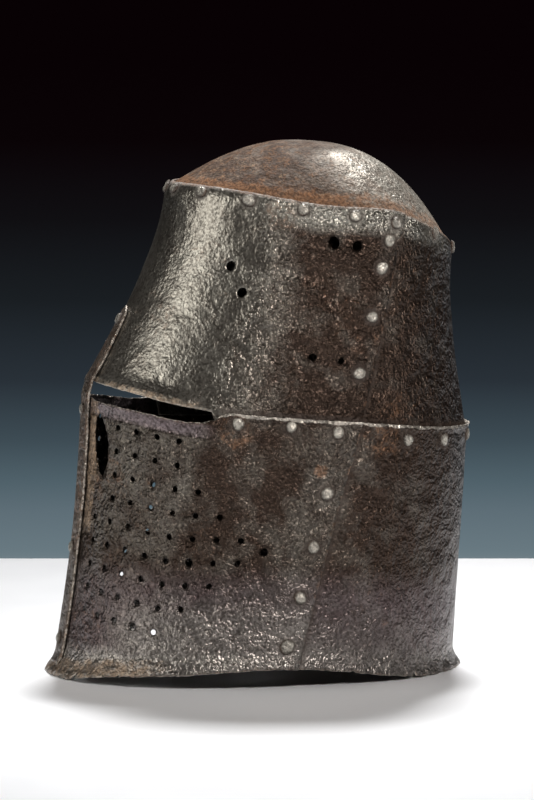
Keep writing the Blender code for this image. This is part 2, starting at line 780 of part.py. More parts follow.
def shoulder_faces(head, shank, below):
    """Faces of the flat shoulder between an eight-sided ring and a square one inside it."""
    faces = []
    for corner in range(SHANK_SIDES):
        ahead = (corner + 1) % SHANK_SIDES
        first, second = 2 * corner, 2 * corner + 1
        third = (2 * corner + 2) % HEAD_SIDES
        faces.append((head + first, shank + corner, head + second))
        faces.append((head + second, shank + corner, shank + ahead))
        faces.append((head + second, shank + ahead, head + third))
    if below:
        return faces
    return [tuple(reversed(face)) for face in faces]


def rivet_mesh(stack):
    """Points and faces of a rivet along its own Z axis, its head seated at 0."""
    seat, tail = RIVET_CLEARANCE, -stack - RIVET_CLEARANCE
    vertices = [Vector((0.0, 0.0, seat + HEAD_HEIGHT)), Vector((0.0, 0.0, tail - TAIL_HEIGHT))]
    crest = len(vertices)
    vertices += ring_points(CREST_RADIUS, seat + CREST_HEIGHT, HEAD_SIDES)
    brim = len(vertices)
    vertices += ring_points(HEAD_RADIUS, seat, HEAD_SIDES)
    top = len(vertices)
    vertices += ring_points(SHANK_CORNER, seat, SHANK_SIDES)
    bottom = len(vertices)
    vertices += ring_points(SHANK_CORNER, tail, SHANK_SIDES)
    burr = len(vertices)
    vertices += ring_points(TAIL_RADIUS, tail, HEAD_SIDES)
    faces = ring_band(crest, brim, HEAD_SIDES) + ring_band(top, bottom, SHANK_SIDES)
    faces += shoulder_faces(brim, top, True) + shoulder_faces(burr, bottom, False)
    for index in range(HEAD_SIDES):
        ahead = (index + 1) % HEAD_SIDES
        faces.append((0, crest + index, crest + ahead))
        faces.append((1, burr + ahead, burr + index))
    return vertices, faces


def make_rivet(rivet, material):
    """One rivet, its Z axis along the wall's outward direction."""
    angle, level = rivet.angle, rivet.level
    offsets = [outer_offset(plate, angle, level) for plate in rivet.plates]
    top, bottom = max(offsets), min(offsets) - PLATE
    if "front_bar" in rivet.plates:
        top += BAR_THICKNESS - PLATE
    seat = wall(angle, level, top)
    axis = (seat - wall(angle, level, bottom)).normalized()
    across, _ = sheet_tangents(angle, level)
    side = (across - axis * across.dot(axis)).normalized()
    turned = Matrix((side, axis.cross(side), axis)).transposed()
    vertices, faces = rivet_mesh(top - bottom)
    item = add_object(rivet.name, vertices, faces, material)
    item.location = seat
    item.rotation_mode = "QUATERNION"
    item.rotation_quaternion = turned.to_quaternion()
    item.data.shade_smooth()
    return item


def main():
    clear_scene()
    rivets = rivet_rows()
    make_face_plate(rivets)
    make_lower_back_plate(rivets)
    make_brow_plate(rivets)
    make_upper_back_plate(rivets)
    make_crown_cap(rivets)
    make_front_bar(rivets)
    rivet_iron = make_material("rivet")
    for rivet in rivets:
        make_rivet(rivet, rivet_iron)


main()
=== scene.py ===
"""Great helm of dark pitted iron on a pale table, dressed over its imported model.

The face looks along -Y, the wearer's left is +X and Z points up, in metres. Every plate lies on one
wall surface, a function of an angle and a level. The angle is 0 at the front ridge and grows in
degrees towards the wearer's left. The level is 0 at the bottom rim, 1 at the waist, 2 at the crown
seam and 3 at the top of the crown. Plates that lap are stacked in layers, a plate and a gap apart.
"""

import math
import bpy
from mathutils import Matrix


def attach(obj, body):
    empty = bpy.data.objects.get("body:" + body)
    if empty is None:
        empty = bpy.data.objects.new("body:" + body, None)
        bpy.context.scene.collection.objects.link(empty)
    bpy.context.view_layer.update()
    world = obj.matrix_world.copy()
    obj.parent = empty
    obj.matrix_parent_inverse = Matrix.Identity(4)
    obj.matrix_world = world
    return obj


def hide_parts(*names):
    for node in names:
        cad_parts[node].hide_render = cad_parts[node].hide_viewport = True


bl_info = {
    "name": "Great helm",
    "version": (1, 0, 0),
    "blender": (4, 5, 0),
    "location": "3D View > Sidebar > Great helm",
    "description": "Dresses a riveted great helm of pitted iron over its packed model",
    "category": "Object",
}

from collections import namedtuple

import bpy
import numpy as np
from bpy.props import FloatProperty, FloatVectorProperty, PointerProperty
from mathutils import Vector
from mathutils.geometry import delaunay_2d_cdt

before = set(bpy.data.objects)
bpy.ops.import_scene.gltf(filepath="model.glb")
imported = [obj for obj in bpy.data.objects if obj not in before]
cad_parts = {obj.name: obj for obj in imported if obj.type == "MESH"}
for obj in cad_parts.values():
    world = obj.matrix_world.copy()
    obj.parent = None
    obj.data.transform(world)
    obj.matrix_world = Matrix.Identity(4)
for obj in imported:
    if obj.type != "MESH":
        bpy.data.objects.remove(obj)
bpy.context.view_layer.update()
MM = 0.001

# Rings of the wall: reach to the front and rear, where it is widest, and half the width
Ring = namedtuple("Ring", "front rear widest half_width")
RIM_RING = Ring(0.1473, 0.1282, -0.0163, 0.1089)
WAIST_RING = Ring(0.1256, 0.1376, 0.0370, 0.1074)
CROWN_RING = Ring(0.0646, 0.1270, 0.0480, 0.0890)
CENTRE_SHIFT = 0.0081
LOWER_FRONT_HOLLOW = 0.0044
UPPER_FRONT_HOLLOW = 0.0054
UPPER_REAR_HOLLOW = 0.0035
FRONT_ROUNDNESS = 1.95
SHOULDER_START = 1.6
SHOULDER_BULGE = 7.9 * MM
SHOULDER_REST = 0.4

# Heights of the rings
RIM_ARCH = 0.0135
RIM_REST_FRONT = 9.0
RIM_REST_REAR = 150.0
WAIST_REAR_HEIGHT = 0.1665
WAIST_FRONT_RISE = 0.0335
CROWN_REAR_HEIGHT = 0.2895
CROWN_FRONT_RISE = 0.045
EDGE_STEP = 15.0
RIM_SHARES = (0.0, 0.02, 0.35, 0.55, 0.72, 0.92, 1.0, 0.76, 0.32, 0.04, 0.0, 0.0, 0.0)
WAIST_SHARES = (1.0, 0.95, 0.83, 0.66, 0.52, 0.43, 0.34, 0.26, 0.17, 0.11, 0.06, 0.02, 0.0)
CROWN_SHARES = (1.0, 1.0, 0.98, 0.915, 0.82, 0.72, 0.67, 0.595, 0.445, 0.285, 0.135, 0.04, 0.0)

# The dome
TOP_FORWARD = 0.012
DOME_FRONT_STEEPNESS = 1.7
DOME_REAR_STEEPNESS = 3.0
FLANGE_LEVEL = 1.895

# Laps and seams, in degrees and levels
LOWER_SEAM_AT_RIM = 93.4
LOWER_SEAM_AT_WAIST = 90.0
UPPER_SEAM_AT_CROWN = 108.6
SEAM_LAP = 10.8
SEAM_RAMP = 12.0
WAIST_LAP_LEVEL = 0.885
CORNER_RAMP_LEVEL = 0.74
CORNER_FULL_LEVEL = 0.84
CORNER_AHEAD = 2.0
CORNER_BEHIND = 1.0

# The rim's lip and the sights
LIP_LEVEL = 0.08
LIP_SIDE = 1.5 * MM
LIP_ENDS = 5.0 * MM
SIGHT_FLOOR = 0.945
SIGHT_FLARE = 2.4 * MM
SIGHT_FLARE_DEPTH = 0.045
BROW_FLARE_HEIGHT = 0.08
WAIST_LIP = 2.0 * MM
WAIST_LIP_START = 0.972
BROW_LEVEL = 1.0
BROW_DROP = 0.008
BROW_SIGHT_END = 52.5
BROW_TAB = 56.0
FLARE_START = 6.5
FLARE_STOP = 50.0
FLARE_START_RAMP = 4.0
FLARE_STOP_RAMP = 6.0
SIGHT_END = ((57.5, 1.0), (55.5, 0.988), (53.5, 0.968), (50.5, 0.951), (46.0, SIGHT_FLOOR))

# The front bar
BAR_HALF_WIDTH = 5.3
BAR_TIP_HALF_WIDTH = 3.6
BAR_FOOT = 0.035
BAR_TAPER_LEVEL = 1.05
BAR_SHOULDER = 1.34
BAR_TIP = 1.37
BAR_THICKNESS = 2.0 * MM

# Breaths: columns behind the bar, as their first and last rows below the sight
BREATH_FIRST_ARC = 26.5 * MM
BREATH_PITCH = 16.4 * MM
BREATH_TOP_LEVEL = 0.868
BREATH_ROW_STEP = 0.0785
BREATH_ROW_SPREAD = 0.0023
BREATH_SPREAD_COLUMNS = 4
BREATH_COLUMNS = ((1, 9), (1, 9), (1, 9), (1, 9), (1, 9), (3, 8), (4, 7), (5, 6), (5.5, 5.5))
WORN_BREATHS = ((3, 9), (5, 6), (8, 5.5))
LOST_BREATHS = ((0, 2), (0, 3), (0, 4))
WORN_GROWTH = 1.35
BREATH_SIDES = 12

# Lacing holes in the brow plate, the same on both sides
LacingHole = namedtuple("LacingHole", "angle level radius")
LACING_HOLES = (
    LacingHole(45.0, 1.648, 3.3 * MM),
    LacingHole(51.2, 1.540, 3.3 * MM),
    LacingHole(78.5, 1.823, 4.0 * MM),
    LacingHole(86.1, 1.814, 3.3 * MM),
    LacingHole(75.8, 1.286, 2.6 * MM),
    LacingHole(83.6, 1.276, 2.2 * MM),
)
LACING_SIDES = 18

# Outlines of the two places rusted through beside the bar, as angles and levels
LEFT_RUST_GAP = (
    (8.8, 0.830), (10.2, 0.757), (13.0, 0.706), (16.2, 0.690), (18.0, 0.734),
    (18.3, 0.803), (15.8, 0.867), (12.4, 0.905), (9.6, 0.885),
)
RIGHT_RUST_GAP = (
    (-7.4, 0.76), (-7.6, 0.86), (-9.6, 0.90), (-11.8, 0.84), (-11.0, 0.77), (-9.0, 0.72),
)

# Nicks in the rim
Nick = namedtuple("Nick", "angle half_width depth")
FACE_NICKS = (Nick(-61.0, 1.2, 0.014), Nick(-24.0, 0.9, 0.010), Nick(19.0, 1.1, 0.016), Nick(38.0, 0.8, 0.008))
BACK_NICKS = (Nick(109.0, 0.7, 0.012), Nick(131.0, 0.6, 0.022), Nick(163.0, 0.9, 0.014), Nick(222.0, 0.8, 0.012))

# Rivets of one side: angle, level and the plate whose outer face the head sits on
Seat = namedtuple("Seat", "angle level plate size")
CROWN_RIVETS = (
    Seat(7.1, 1.966, "brow_plate", 1.0),
    Seat(26.3, 1.965, "brow_plate", 0.95),
    Seat(47.9, 1.960, "brow_plate", 1.05),
    Seat(67.3, 1.961, "brow_plate", 1.0),
    Seat(85.0, 1.955, "brow_plate", 1.0),
    Seat(102.7, 1.940, "brow_plate", 0.95),
    Seat(130.2, 1.966, "upper_back_plate", 0.95),
    Seat(160.0, 1.960, "upper_back_plate", 1.0),
)
UPPER_SEAM_RIVETS = (
    Seat(99.6, 1.854, "brow_plate", 1.0),
    Seat(96.5, 1.721, "brow_plate", 1.05),
    Seat(92.5, 1.489, "brow_plate", 0.95),
    Seat(88.7, 1.223, "brow_plate", 1.0),
)
WAIST_RIVETS = (
    Seat(60.2, 0.962, "face_plate", 1.0),
    Seat(73.3, 0.966, "face_plate", 0.9),
    Seat(84.6, 0.955, "face_plate", 1.0),
    Seat(110.8, 0.940, "lower_back_plate", 0.95),
    Seat(130.5, 0.945, "lower_back_plate", 0.95),
    Seat(157.6, 0.955, "lower_back_plate", 1.0),
)
LOWER_SEAM_RIVETS = (
    Seat(86.4, 0.710, "face_plate", 1.05),
    Seat(87.0, 0.495, "face_plate", 1.0),
    Seat(87.6, 0.292, "face_plate", 1.0),
    Seat(88.2, 0.095, "face_plate", 1.2),
)
BAR_RIVETS = (
    Seat(0.0, 0.12, "front_bar", 1.0),
    Seat(0.0, 0.43, "front_bar", 1.0),
    Seat(0.0, 0.90, "front_bar", 0.95),
    Seat(0.0, 1.30, "front_bar", 0.9),
)
RIVET_SECTORS = 16
# Reach of the painted shade round each rivet head
RIVET_SHADE_REACH = 7.5 * MM
HOLE_WEAR_STEP = 0.9 * MM
# Millimetres of bright band along the waist's top edge: worn iron and a painted highlight along the lip
WAIST_WEAR_AND_HIGHLIGHT = 3.0

# Small dents and scars
Dent = namedtuple("Dent", "plate angle level radius depth")
DENTS = (
    Dent("face_plate", 83.0, 0.800, 8.0 * MM, 0.7 * MM),
    Dent("brow_plate", 34.0, 1.09, 3.0 * MM, 0.6 * MM),
    Dent("face_plate", 66.0, 0.34, 12.0 * MM, 0.4 * MM),
    Dent("brow_plate", 60.0, 1.52, 14.0 * MM, 0.4 * MM),
    Dent("lower_back_plate", 118.0, 0.55, 15.0 * MM, 0.4 * MM),
    Dent("upper_back_plate", 128.0, 1.50, 16.0 * MM, 0.4 * MM),
)

# Hammered unevenness of the wall: waves a turn, waves a level, phase and weight
Wave = namedtuple("Wave", "turns levels phase weight")
HAMMER_WAVES = (
    Wave(3, 0.7, 0.4, 0.9),
    Wave(5, 1.3, 2.1, 0.8),
    Wave(-8, 1.9, 4.0, 0.6),
    Wave(11, -2.6, 1.1, 0.45),
    Wave(17, 3.1, 5.2, 0.30),
    Wave(-23, 4.7, 0.9, 0.22),
    Wave(29, 6.1, 3.3, 0.16),
)

# Sheet millimetres for a degree and for a level, and the mesh's cell
SHEET_SCALE = np.array((1.9, 170.0))
CELL = 1.7
BACK_CELL = 2.2


class HelmSizes(bpy.types.PropertyGroup):
    """Sizes of the plates and rivets."""

    top_height: FloatProperty(
        name="Height", description="Height of the helm", default=0.360, unit="LENGTH")
    plate: FloatProperty(
        name="Plate", description="Thickness of the iron plates", default=1.5 * MM, unit="LENGTH")
    gap: FloatProperty(
        name="Gap", description="Gap between plates that lap", default=0.45 * MM, unit="LENGTH")
    edge_rounding: FloatProperty(
        name="Edge rounding", description="How far worn edges fall back", default=0.35 * MM, unit="LENGTH")
    raggedness: FloatProperty(
        name="Raggedness", description="How far edges are eaten back by rust", default=0.7 * MM, unit="LENGTH")
    hammering: FloatProperty(
        name="Hammering", description="Depth of the hammered unevenness", default=1.0 * MM, unit="LENGTH")
    breath_radius: FloatProperty(
        name="Breath radius", description="Radius of the breaths", default=2.0 * MM, unit="LENGTH")
    rivet_radius: FloatProperty(
        name="Rivet radius", description="Radius of the rivet heads", default=4.4 * MM, unit="LENGTH")
    rivet_height: FloatProperty(
        name="Rivet height", description="Height of the rivet heads", default=2.1 * MM, unit="LENGTH")


class HelmFinish(bpy.types.PropertyGroup):
    """Colours and surface of the iron."""

    dark_iron: FloatVectorProperty(
        name="Dark iron", description="Deepest tone of the old iron", subtype="COLOR", size=4,
        default=(0.034, 0.022, 0.016, 1.0))
    grey_iron: FloatVectorProperty(
        name="Grey iron", description="Burnished grey tone", subtype="COLOR", size=4,
        default=(0.255, 0.242, 0.210, 1.0))
    brown_iron: FloatVectorProperty(
        name="Brown iron", description="Brown tone of the patina", subtype="COLOR", size=4,
        default=(0.088, 0.057, 0.040, 1.0))
    rust: FloatVectorProperty(
        name="Rust", description="Orange-brown rust", subtype="COLOR", size=4,
        default=(0.170, 0.084, 0.042, 1.0))
    ochre: FloatVectorProperty(
        name="Ochre", description="Pale ochre rust along edges", subtype="COLOR", size=4,
        default=(0.270, 0.190, 0.125, 1.0))
    violet: FloatVectorProperty(
        name="Violet grey", description="Smooth violet-grey patina", subtype="COLOR", size=4,
        default=(0.150, 0.120, 0.130, 1.0))
    worn: FloatVectorProperty(
        name="Worn edge", description="Bright worn edges", subtype="COLOR", size=4,
        default=(0.440, 0.400, 0.350, 1.0))
    grain: FloatProperty(
        name="Grain", description="How strongly the grain lightens and darkens the iron", default=0.5)
    pit_size: FloatProperty(
        name="Pit size", description="Width of the rust pits", default=1.9 * MM, unit="LENGTH")
    pit_depth: FloatProperty(
        name="Pit depth", description="Depth of the rust pits", default=1.2 * MM, unit="LENGTH")


class StageSettings(bpy.types.PropertyGroup):
    """Table, camera and studio light."""

    azimuth: FloatProperty(
        name="Azimuth", description="Camera angle round the helm", default=math.radians(75.2), unit="ROTATION")
    pitch: FloatProperty(
        name="Pitch", description="How far the camera looks down", default=math.radians(5.95), unit="ROTATION")
    distance: FloatProperty(
        name="Distance", description="Camera distance", default=3.416, unit="LENGTH")
    aim_height: FloatProperty(
        name="Aim height", description="Height that the camera aims at", default=0.1826, unit="LENGTH")
    lens: FloatProperty(
        name="Lens", description="Focal length in millimetres on a 36 mm frame", default=225.0)
    table_behind: FloatProperty(
        name="Table behind", description="Table depth behind the helm", default=0.54, unit="LENGTH")
    back_power: FloatProperty(
        name="Back light", description="Power of the light above and behind the helm", default=18.0, unit="POWER")
    left_power: FloatProperty(
        name="Left panel", description="Power of the low soft panel at the left", default=1.4, unit="POWER")
    front_power: FloatProperty(
        name="Front light", description="Power of the soft light beside the camera", default=1.5, unit="POWER")
    right_power: FloatProperty(
        name="Right panel", description="Power of the weak panel at the right", default=0.6, unit="POWER")


def sizes():
    """Sizes chosen in the panel."""
    return bpy.context.scene.helm_sizes


def finish():
    """Finish chosen in the panel."""
    return bpy.context.scene.helm_finish


def mix(first, second, share):
    """Straight blend of two values."""
    return first * (1.0 - share) + second * share


def ease(value):
    """Smooth ramp from 0 to 1: three squares less two cubes of the clipped value."""
    value = np.clip(value, 0.0, 1.0)
    return value * value * (3.0 - 2.0 * value)


def folded(angle):
    """Angle from the front ridge, 0 to 180, on either side."""
    return np.abs((angle + 180.0) % 360.0 - 180.0)


def edge_share(angle, shares):
    """Table of shares every 15 degrees, read on a smooth cubic that mirrors at both ends."""
    table = np.array(shares)
    last = len(table) - 1
    place = folded(angle) / EDGE_STEP
    index = np.clip(place.astype(int), 0, last - 1)
    share = place - index
    before = table[np.abs(index - 1)]
    start, end = table[index], table[index + 1]
    after = table[last - np.abs(last - index - 2)]
    leave, arrive = (end - before) / 2.0, (after - start) / 2.0
    bend = 3.0 * (end - start) - 2.0 * leave - arrive
    twist = 2.0 * (start - end) + leave + arrive
    return start + share * (leave + share * (bend + share * twist))


def ring_height(angle, level):
    """Height of the wall: blended from rim to waist to crown, each a table of shares times its rise."""
    turn = folded(angle)
    arched = (turn > RIM_REST_FRONT) & (turn < RIM_REST_REAR)
    rim = np.where(arched, RIM_ARCH * np.maximum(edge_share(angle, RIM_SHARES), 0.0), 0.0)
    waist = WAIST_REAR_HEIGHT + WAIST_FRONT_RISE * edge_share(angle, WAIST_SHARES)
    crown = CROWN_REAR_HEIGHT + CROWN_FRONT_RISE * edge_share(angle, CROWN_SHARES)
    return np.where(level <= 1.0, mix(rim, waist, level), mix(waist, crown, level - 1.0))


def wall_point(angle, level):
    """Point on the smooth wall.

    Across is half the width times the sine of the angle. Forward is where the ring is widest plus its
    reach times a root of one less the sine's power, so each ring is two half ellipses. Below the
    crown seam the plates swell into a shoulder, by the cube of the climb times one less its tenth power.
    """
    angle, level = np.broadcast_arrays(np.asarray(angle, float), np.asarray(level, float))
    lower = level <= 1.0
    share = np.where(lower, level, level - 1.0)
    depth = 4.0 * share * (1.0 - share)
    rings = []
    for rim, waist, crown in zip(RIM_RING, WAIST_RING, CROWN_RING):
        rings.append(np.where(lower, mix(rim, waist, share), mix(waist, crown, share)))
    climb = np.clip((level - SHOULDER_START) / (2.0 - SHOULDER_START), 0.0, 1.0)
    shoulder = SHOULDER_BULGE * climb ** 3 * (1.0 - climb ** 10)
    front = rings[0] - depth * np.where(lower, LOWER_FRONT_HOLLOW, UPPER_FRONT_HOLLOW) + shoulder
    rear = rings[1] - depth * np.where(lower, 0.0, UPPER_REAR_HOLLOW) + shoulder * SHOULDER_REST
    widest, half = rings[2], rings[3] + shoulder * SHOULDER_REST
    turn = np.radians(angle)
    across, ahead = np.sin(turn), np.cos(turn) >= 0.0
    reach = np.where(ahead, -front - widest, rear - widest)
    power = np.where(ahead, FRONT_ROUNDNESS, 2.0)
    bulge = np.sqrt(np.maximum(1.0 - np.abs(across) ** power, 0.0))
    forward = widest + reach * bulge + CENTRE_SHIFT
    return np.stack((half * across, forward, ring_height(angle, level)), axis=-1)


def unit(vectors):
    """Vectors scaled to length one."""
    return vectors / np.linalg.norm(vectors, axis=-1, keepdims=True)


def wall_normal(angle, level):
    """Outward direction: the cross product of a step round the wall and a step up it, level at the rim."""
    low = np.clip(level - 0.02, 0.0, 1.96)
    high = np.clip(level + 0.02, 0.04, 2.0)
    along = wall_point(angle + 1.0, level) - wall_point(angle - 1.0, level)
    up = wall_point(angle, high) - wall_point(angle, low)
    normal = unit(np.cross(along, up))
    normal[..., 2] *= np.clip(level / BAR_FOOT, 0.0, 1.0)
    return unit(normal)


def hammered(angle, level):
    """Inward unevenness: a sum of slanting sine waves, shifted and scaled to run from 0 to 1."""
    total = np.zeros(np.broadcast(angle, level).shape)
    weight = 0.0
    for wave in HAMMER_WAVES:
        turns = np.radians(angle) * wave.turns + level * wave.levels * 2.0 * math.pi + wave.phase
        total += wave.weight * np.sin(turns)
        weight += wave.weight
    return 0.5 - 0.5 * total / weight


def lower_seam(level):
    """Angle of the face plate's rear edge."""
    return mix(LOWER_SEAM_AT_RIM, LOWER_SEAM_AT_WAIST, level)


def upper_seam(level):
    """Angle of the brow plate's rear edge."""
    return mix(LOWER_SEAM_AT_WAIST, UPPER_SEAM_AT_CROWN, level - 1.0)


def corner_step(angle, level):
    """Extra layer where all four plates meet at the waist."""
    turn = folded(angle)
    front = LOWER_SEAM_AT_WAIST - SEAM_LAP - CORNER_AHEAD
    rear = LOWER_SEAM_AT_WAIST + CORNER_BEHIND
    rise = ease((turn - front + SEAM_RAMP) / SEAM_RAMP) * ease((rear + SEAM_RAMP - turn) / SEAM_RAMP)
    return rise * ease((level - CORNER_RAMP_LEVEL) / (CORNER_FULL_LEVEL - CORNER_RAMP_LEVEL))


def seam_step(angle, edge):
    """One layer on the lapping strip of a seam, fading towards the front."""
    return ease((folded(angle) - edge + SEAM_LAP + SEAM_RAMP) / SEAM_RAMP)


def layer(plate, angle, level):
    """Layer of a plate, counted outwards from the upper back plate."""
    if plate == "brow_plate":
        return seam_step(angle, upper_seam(level))
    if plate == "face_plate":
        return 1.0 + seam_step(angle, lower_seam(level)) + corner_step(angle, level)
    if plate == "lower_back_plate":
        return 1.0 + corner_step(angle, level)
    if plate == "crown_cap":
        return -1.0 + 0.0 * angle
    if plate == "front_bar":
        return mix(2.0, 1.0, ease((level - SIGHT_FLOOR) / (BROW_LEVEL - SIGHT_FLOOR)))
    return 0.0 * angle


def flare(plate, angle, level):
    """Outward bend at the rim's lip and at the sights."""
    lip = LIP_SIDE + LIP_ENDS * np.cos(np.radians(angle)) ** 2
    bend = lip * np.clip(1.0 - level / LIP_LEVEL, 0.0, 1.0) ** 2
    turn = folded(angle)
    beside_bar = ease((turn - FLARE_START) / FLARE_START_RAMP) * ease((FLARE_STOP - turn) / FLARE_STOP_RAMP)
    if plate == "face_plate":
        height = (level - SIGHT_FLOOR + SIGHT_FLARE_DEPTH) / SIGHT_FLARE_DEPTH
        bend = bend + SIGHT_FLARE * beside_bar * ease(height)
    if plate == "brow_plate":
        height = (BROW_LEVEL + BROW_FLARE_HEIGHT - level) / BROW_FLARE_HEIGHT
        bend = bend + SIGHT_FLARE * beside_bar * ease(height)
    if plate in ("face_plate", "lower_back_plate"):
        bend = bend + WAIST_LIP * ease((level - WAIST_LIP_START) / (1.0 - WAIST_LIP_START)) * ease((turn - 56.0) / 3.0)
    return bend


def plate_surface(plate, angle, level, depth):
    """Points of a plate at a depth below its outer face, moved out by its layers and flare."""
    thickness, gap = sizes().plate, sizes().gap
    outward = (layer(plate, angle, level) - 0.5) * (thickness + gap) + flare(plate, angle, level)
    if plate == "front_bar":
        outward = outward + (BAR_THICKNESS - thickness) * (1.0 - depth / thickness)
    outward = outward - depth - sizes().hammering * hammered(angle, level) * ease(level / LIP_LEVEL)
    return wall_point(angle, level) + wall_normal(angle, level) * outward[..., None]


def dome_surface(angle, level, depth):
    """Dome over the crown seam.

    Each point lies on the straight line from the top to the seam, by its reach, and drops from the top
    by the reach to a power that is steeper at the rear than at the front.
    """
    seam = np.minimum(level, 2.0)
    edge = plate_surface("crown_cap", angle, seam, depth)
    reach = np.clip(3.0 - level, 0.0, 1.0)[..., None]
    frontness = ((1.0 + np.cos(np.radians(angle)))[..., None] / 2.0) ** 2
    steepness = mix(DOME_REAR_STEEPNESS, DOME_FRONT_STEEPNESS, frontness)
    top = np.zeros(edge.shape)
    top[..., 1] = TOP_FORWARD + CENTRE_SHIFT
    top[..., 2] = sizes().top_height - depth
    dome = mix(top, edge, reach)
    dome[..., 2:] = top[..., 2:] - (top[..., 2:] - edge[..., 2:]) * reach ** steepness
    dented = sizes().hammering * hammered(angle, level) * reach[..., 0] * (1.0 - reach[..., 0]) * 3.0
    dome[..., 2] -= dented
    return np.where(level[..., None] <= 2.0, edge, dome)


def ragged(count, seed):
    """Closed run of values from 0 to 1: a sum of seeded sine waves, each a whole number of turns."""
    rng = np.random.default_rng(seed)
    turn = np.linspace(0.0, 2.0 * math.pi, count, endpoint=False)
    total = np.zeros(count)
    for share in (0.02, 0.05, 0.09, 0.16, 0.24, 0.33):
        waves = max(int(count * share), 1)
        total += rng.uniform(0.5, 1.0) * np.sin(waves * turn + rng.uniform(0.0, 6.28))
    return 0.5 + 0.5 * total / np.abs(total).max()


def resampled(points, step):
    """Closed outline in sheet millimetres, set out again at even steps along each of its sides."""
    points = np.asarray(points, float)
    ahead = np.roll(points, -1, axis=0)
    runs = []
    for start, end in zip(points, ahead):
        count = max(int(round(np.linalg.norm(end - start) / step)), 1)
        share = np.linspace(0.0, 1.0, count, endpoint=False)[:, None]
        runs.append(mix(start, end, share))
    return np.concatenate(runs)


def eaten(points, seed, depth):
    """Outline moved inwards by a ragged run of depths, square to its own direction."""
    along = unit(np.roll(points, -1, axis=0) - np.roll(points, 1, axis=0))
    inward = np.stack((-along[:, 1], along[:, 0]), axis=-1)
    return points + inward * (ragged(len(points), seed) * depth)[:, None]


def inside(loop, points):
    """Whether points lie inside a closed loop: a ray to the right crosses an odd count of its sides."""
    ahead = np.roll(loop, -1, axis=0)
    run, rise = (ahead - loop).T
    slope = run / np.where(rise == 0.0, 1.0, rise)
    blocks = []
    for block in np.array_split(points, max(len(points) // 1500, 1)):
        x, y = block[:, :1], block[:, 1:]
        spans = (loop[:, 1] > y) != (ahead[:, 1] > y)
        crossed = spans & (x < loop[:, 0] + (y - loop[:, 1]) * slope)
        blocks.append(crossed.sum(axis=1) % 2 == 1)
    return np.concatenate(blocks)


def nearest(points, others):
    """Distance from each point to the nearest of the others."""
    blocks = []
    for block in np.array_split(points, max(len(points) // 1500, 1)):
        apart = np.linalg.norm(block[:, None, :] - others[None, :, :], axis=-1)
        blocks.append(apart.min(axis=1))
    return np.concatenate(blocks)


def round_hole(angle, level, radius, sides, seed):
    """Loop that is a slightly uneven round hole on the wall: a circle solved for steps of angle and level."""
    across = (wall_point(angle + 2.0, level) - wall_point(angle - 2.0, level)) / 4.0
    up = (wall_point(angle, level + 0.03) - wall_point(angle, level - 0.03)) / 0.06
    side = unit(across)
    rise = np.cross(unit(np.cross(across, up)), side)
    turn = 2.0 * math.pi * (np.arange(sides) + 0.5) / sides
    rng = np.random.default_rng(seed)
    reach = radius * (1.0 + 0.07 * np.sin(2.0 * turn + rng.uniform(0.0, 6.28)) + 0.05 * rng.uniform(-1, 1, sides))
    level_step = reach * np.sin(turn) / np.dot(up, rise)
    angle_step = (reach * np.cos(turn) - np.dot(up, side) * level_step) / np.linalg.norm(across)
    return np.stack((angle + angle_step, level + level_step), axis=-1)


def angle_at_arc(arc, level):
    """Angle that lies a given length round the wall from the front ridge."""
    turns = np.arange(0.0, 120.0, 0.25)
    points = wall_point(turns, level)
    steps = np.linalg.norm(np.diff(points[:, :2], axis=0), axis=-1)
    return float(np.interp(arc, np.concatenate(((0.0,), np.cumsum(steps))), turns))


def breath_loops():
    """Loops of the breaths on both sides, leaving out those lost to the left rust gap."""
    loops = []
    for side in (1, -1):
        for column, (first, last) in enumerate(BREATH_COLUMNS):
            spread = BREATH_ROW_SPREAD * min(column, BREATH_SPREAD_COLUMNS)
            for row in np.arange(first, last + 0.5):
                worn = side > 0 and (column, row) in WORN_BREATHS
                lost = side > 0 and (column, row) in LOST_BREATHS
                level = BREATH_TOP_LEVEL - (row - 1) * (BREATH_ROW_STEP + spread)
                angle = side * angle_at_arc(BREATH_FIRST_ARC + column * BREATH_PITCH, level)
                radius = sizes().breath_radius * (WORN_GROWTH if worn else 1.0)
                if not lost:
                    seed = int(1000 + 40 * column + 2 * row + side)
                    loops.append(round_hole(angle, level, radius, BREATH_SIDES, seed))
    return loops


def sheet_grid(loops, cell):
    """Staggered grid of points inside the outline, clear of every loop by most of a cell."""
    outline = loops[0]
    low, high = outline.min(axis=0), outline.max(axis=0)
    rows = np.arange(low[1], high[1], cell * 0.87)
    columns = np.arange(low[0], high[0], cell)
    x, y = np.meshgrid(columns, rows)
    x = x + np.where(np.arange(len(rows)) % 2 == 0, 0.0, cell / 2.0)[:, None]
    points = np.stack((x.ravel(), y.ravel()), axis=-1)
    points = points[inside(outline, points)]
    border = np.concatenate([resampled(loop, cell) for loop in loops])
    points = points[nearest(points, border) > 0.66 * cell]
    for loop in loops[1:]:
        points = points[~inside(loop, points)]
    return points


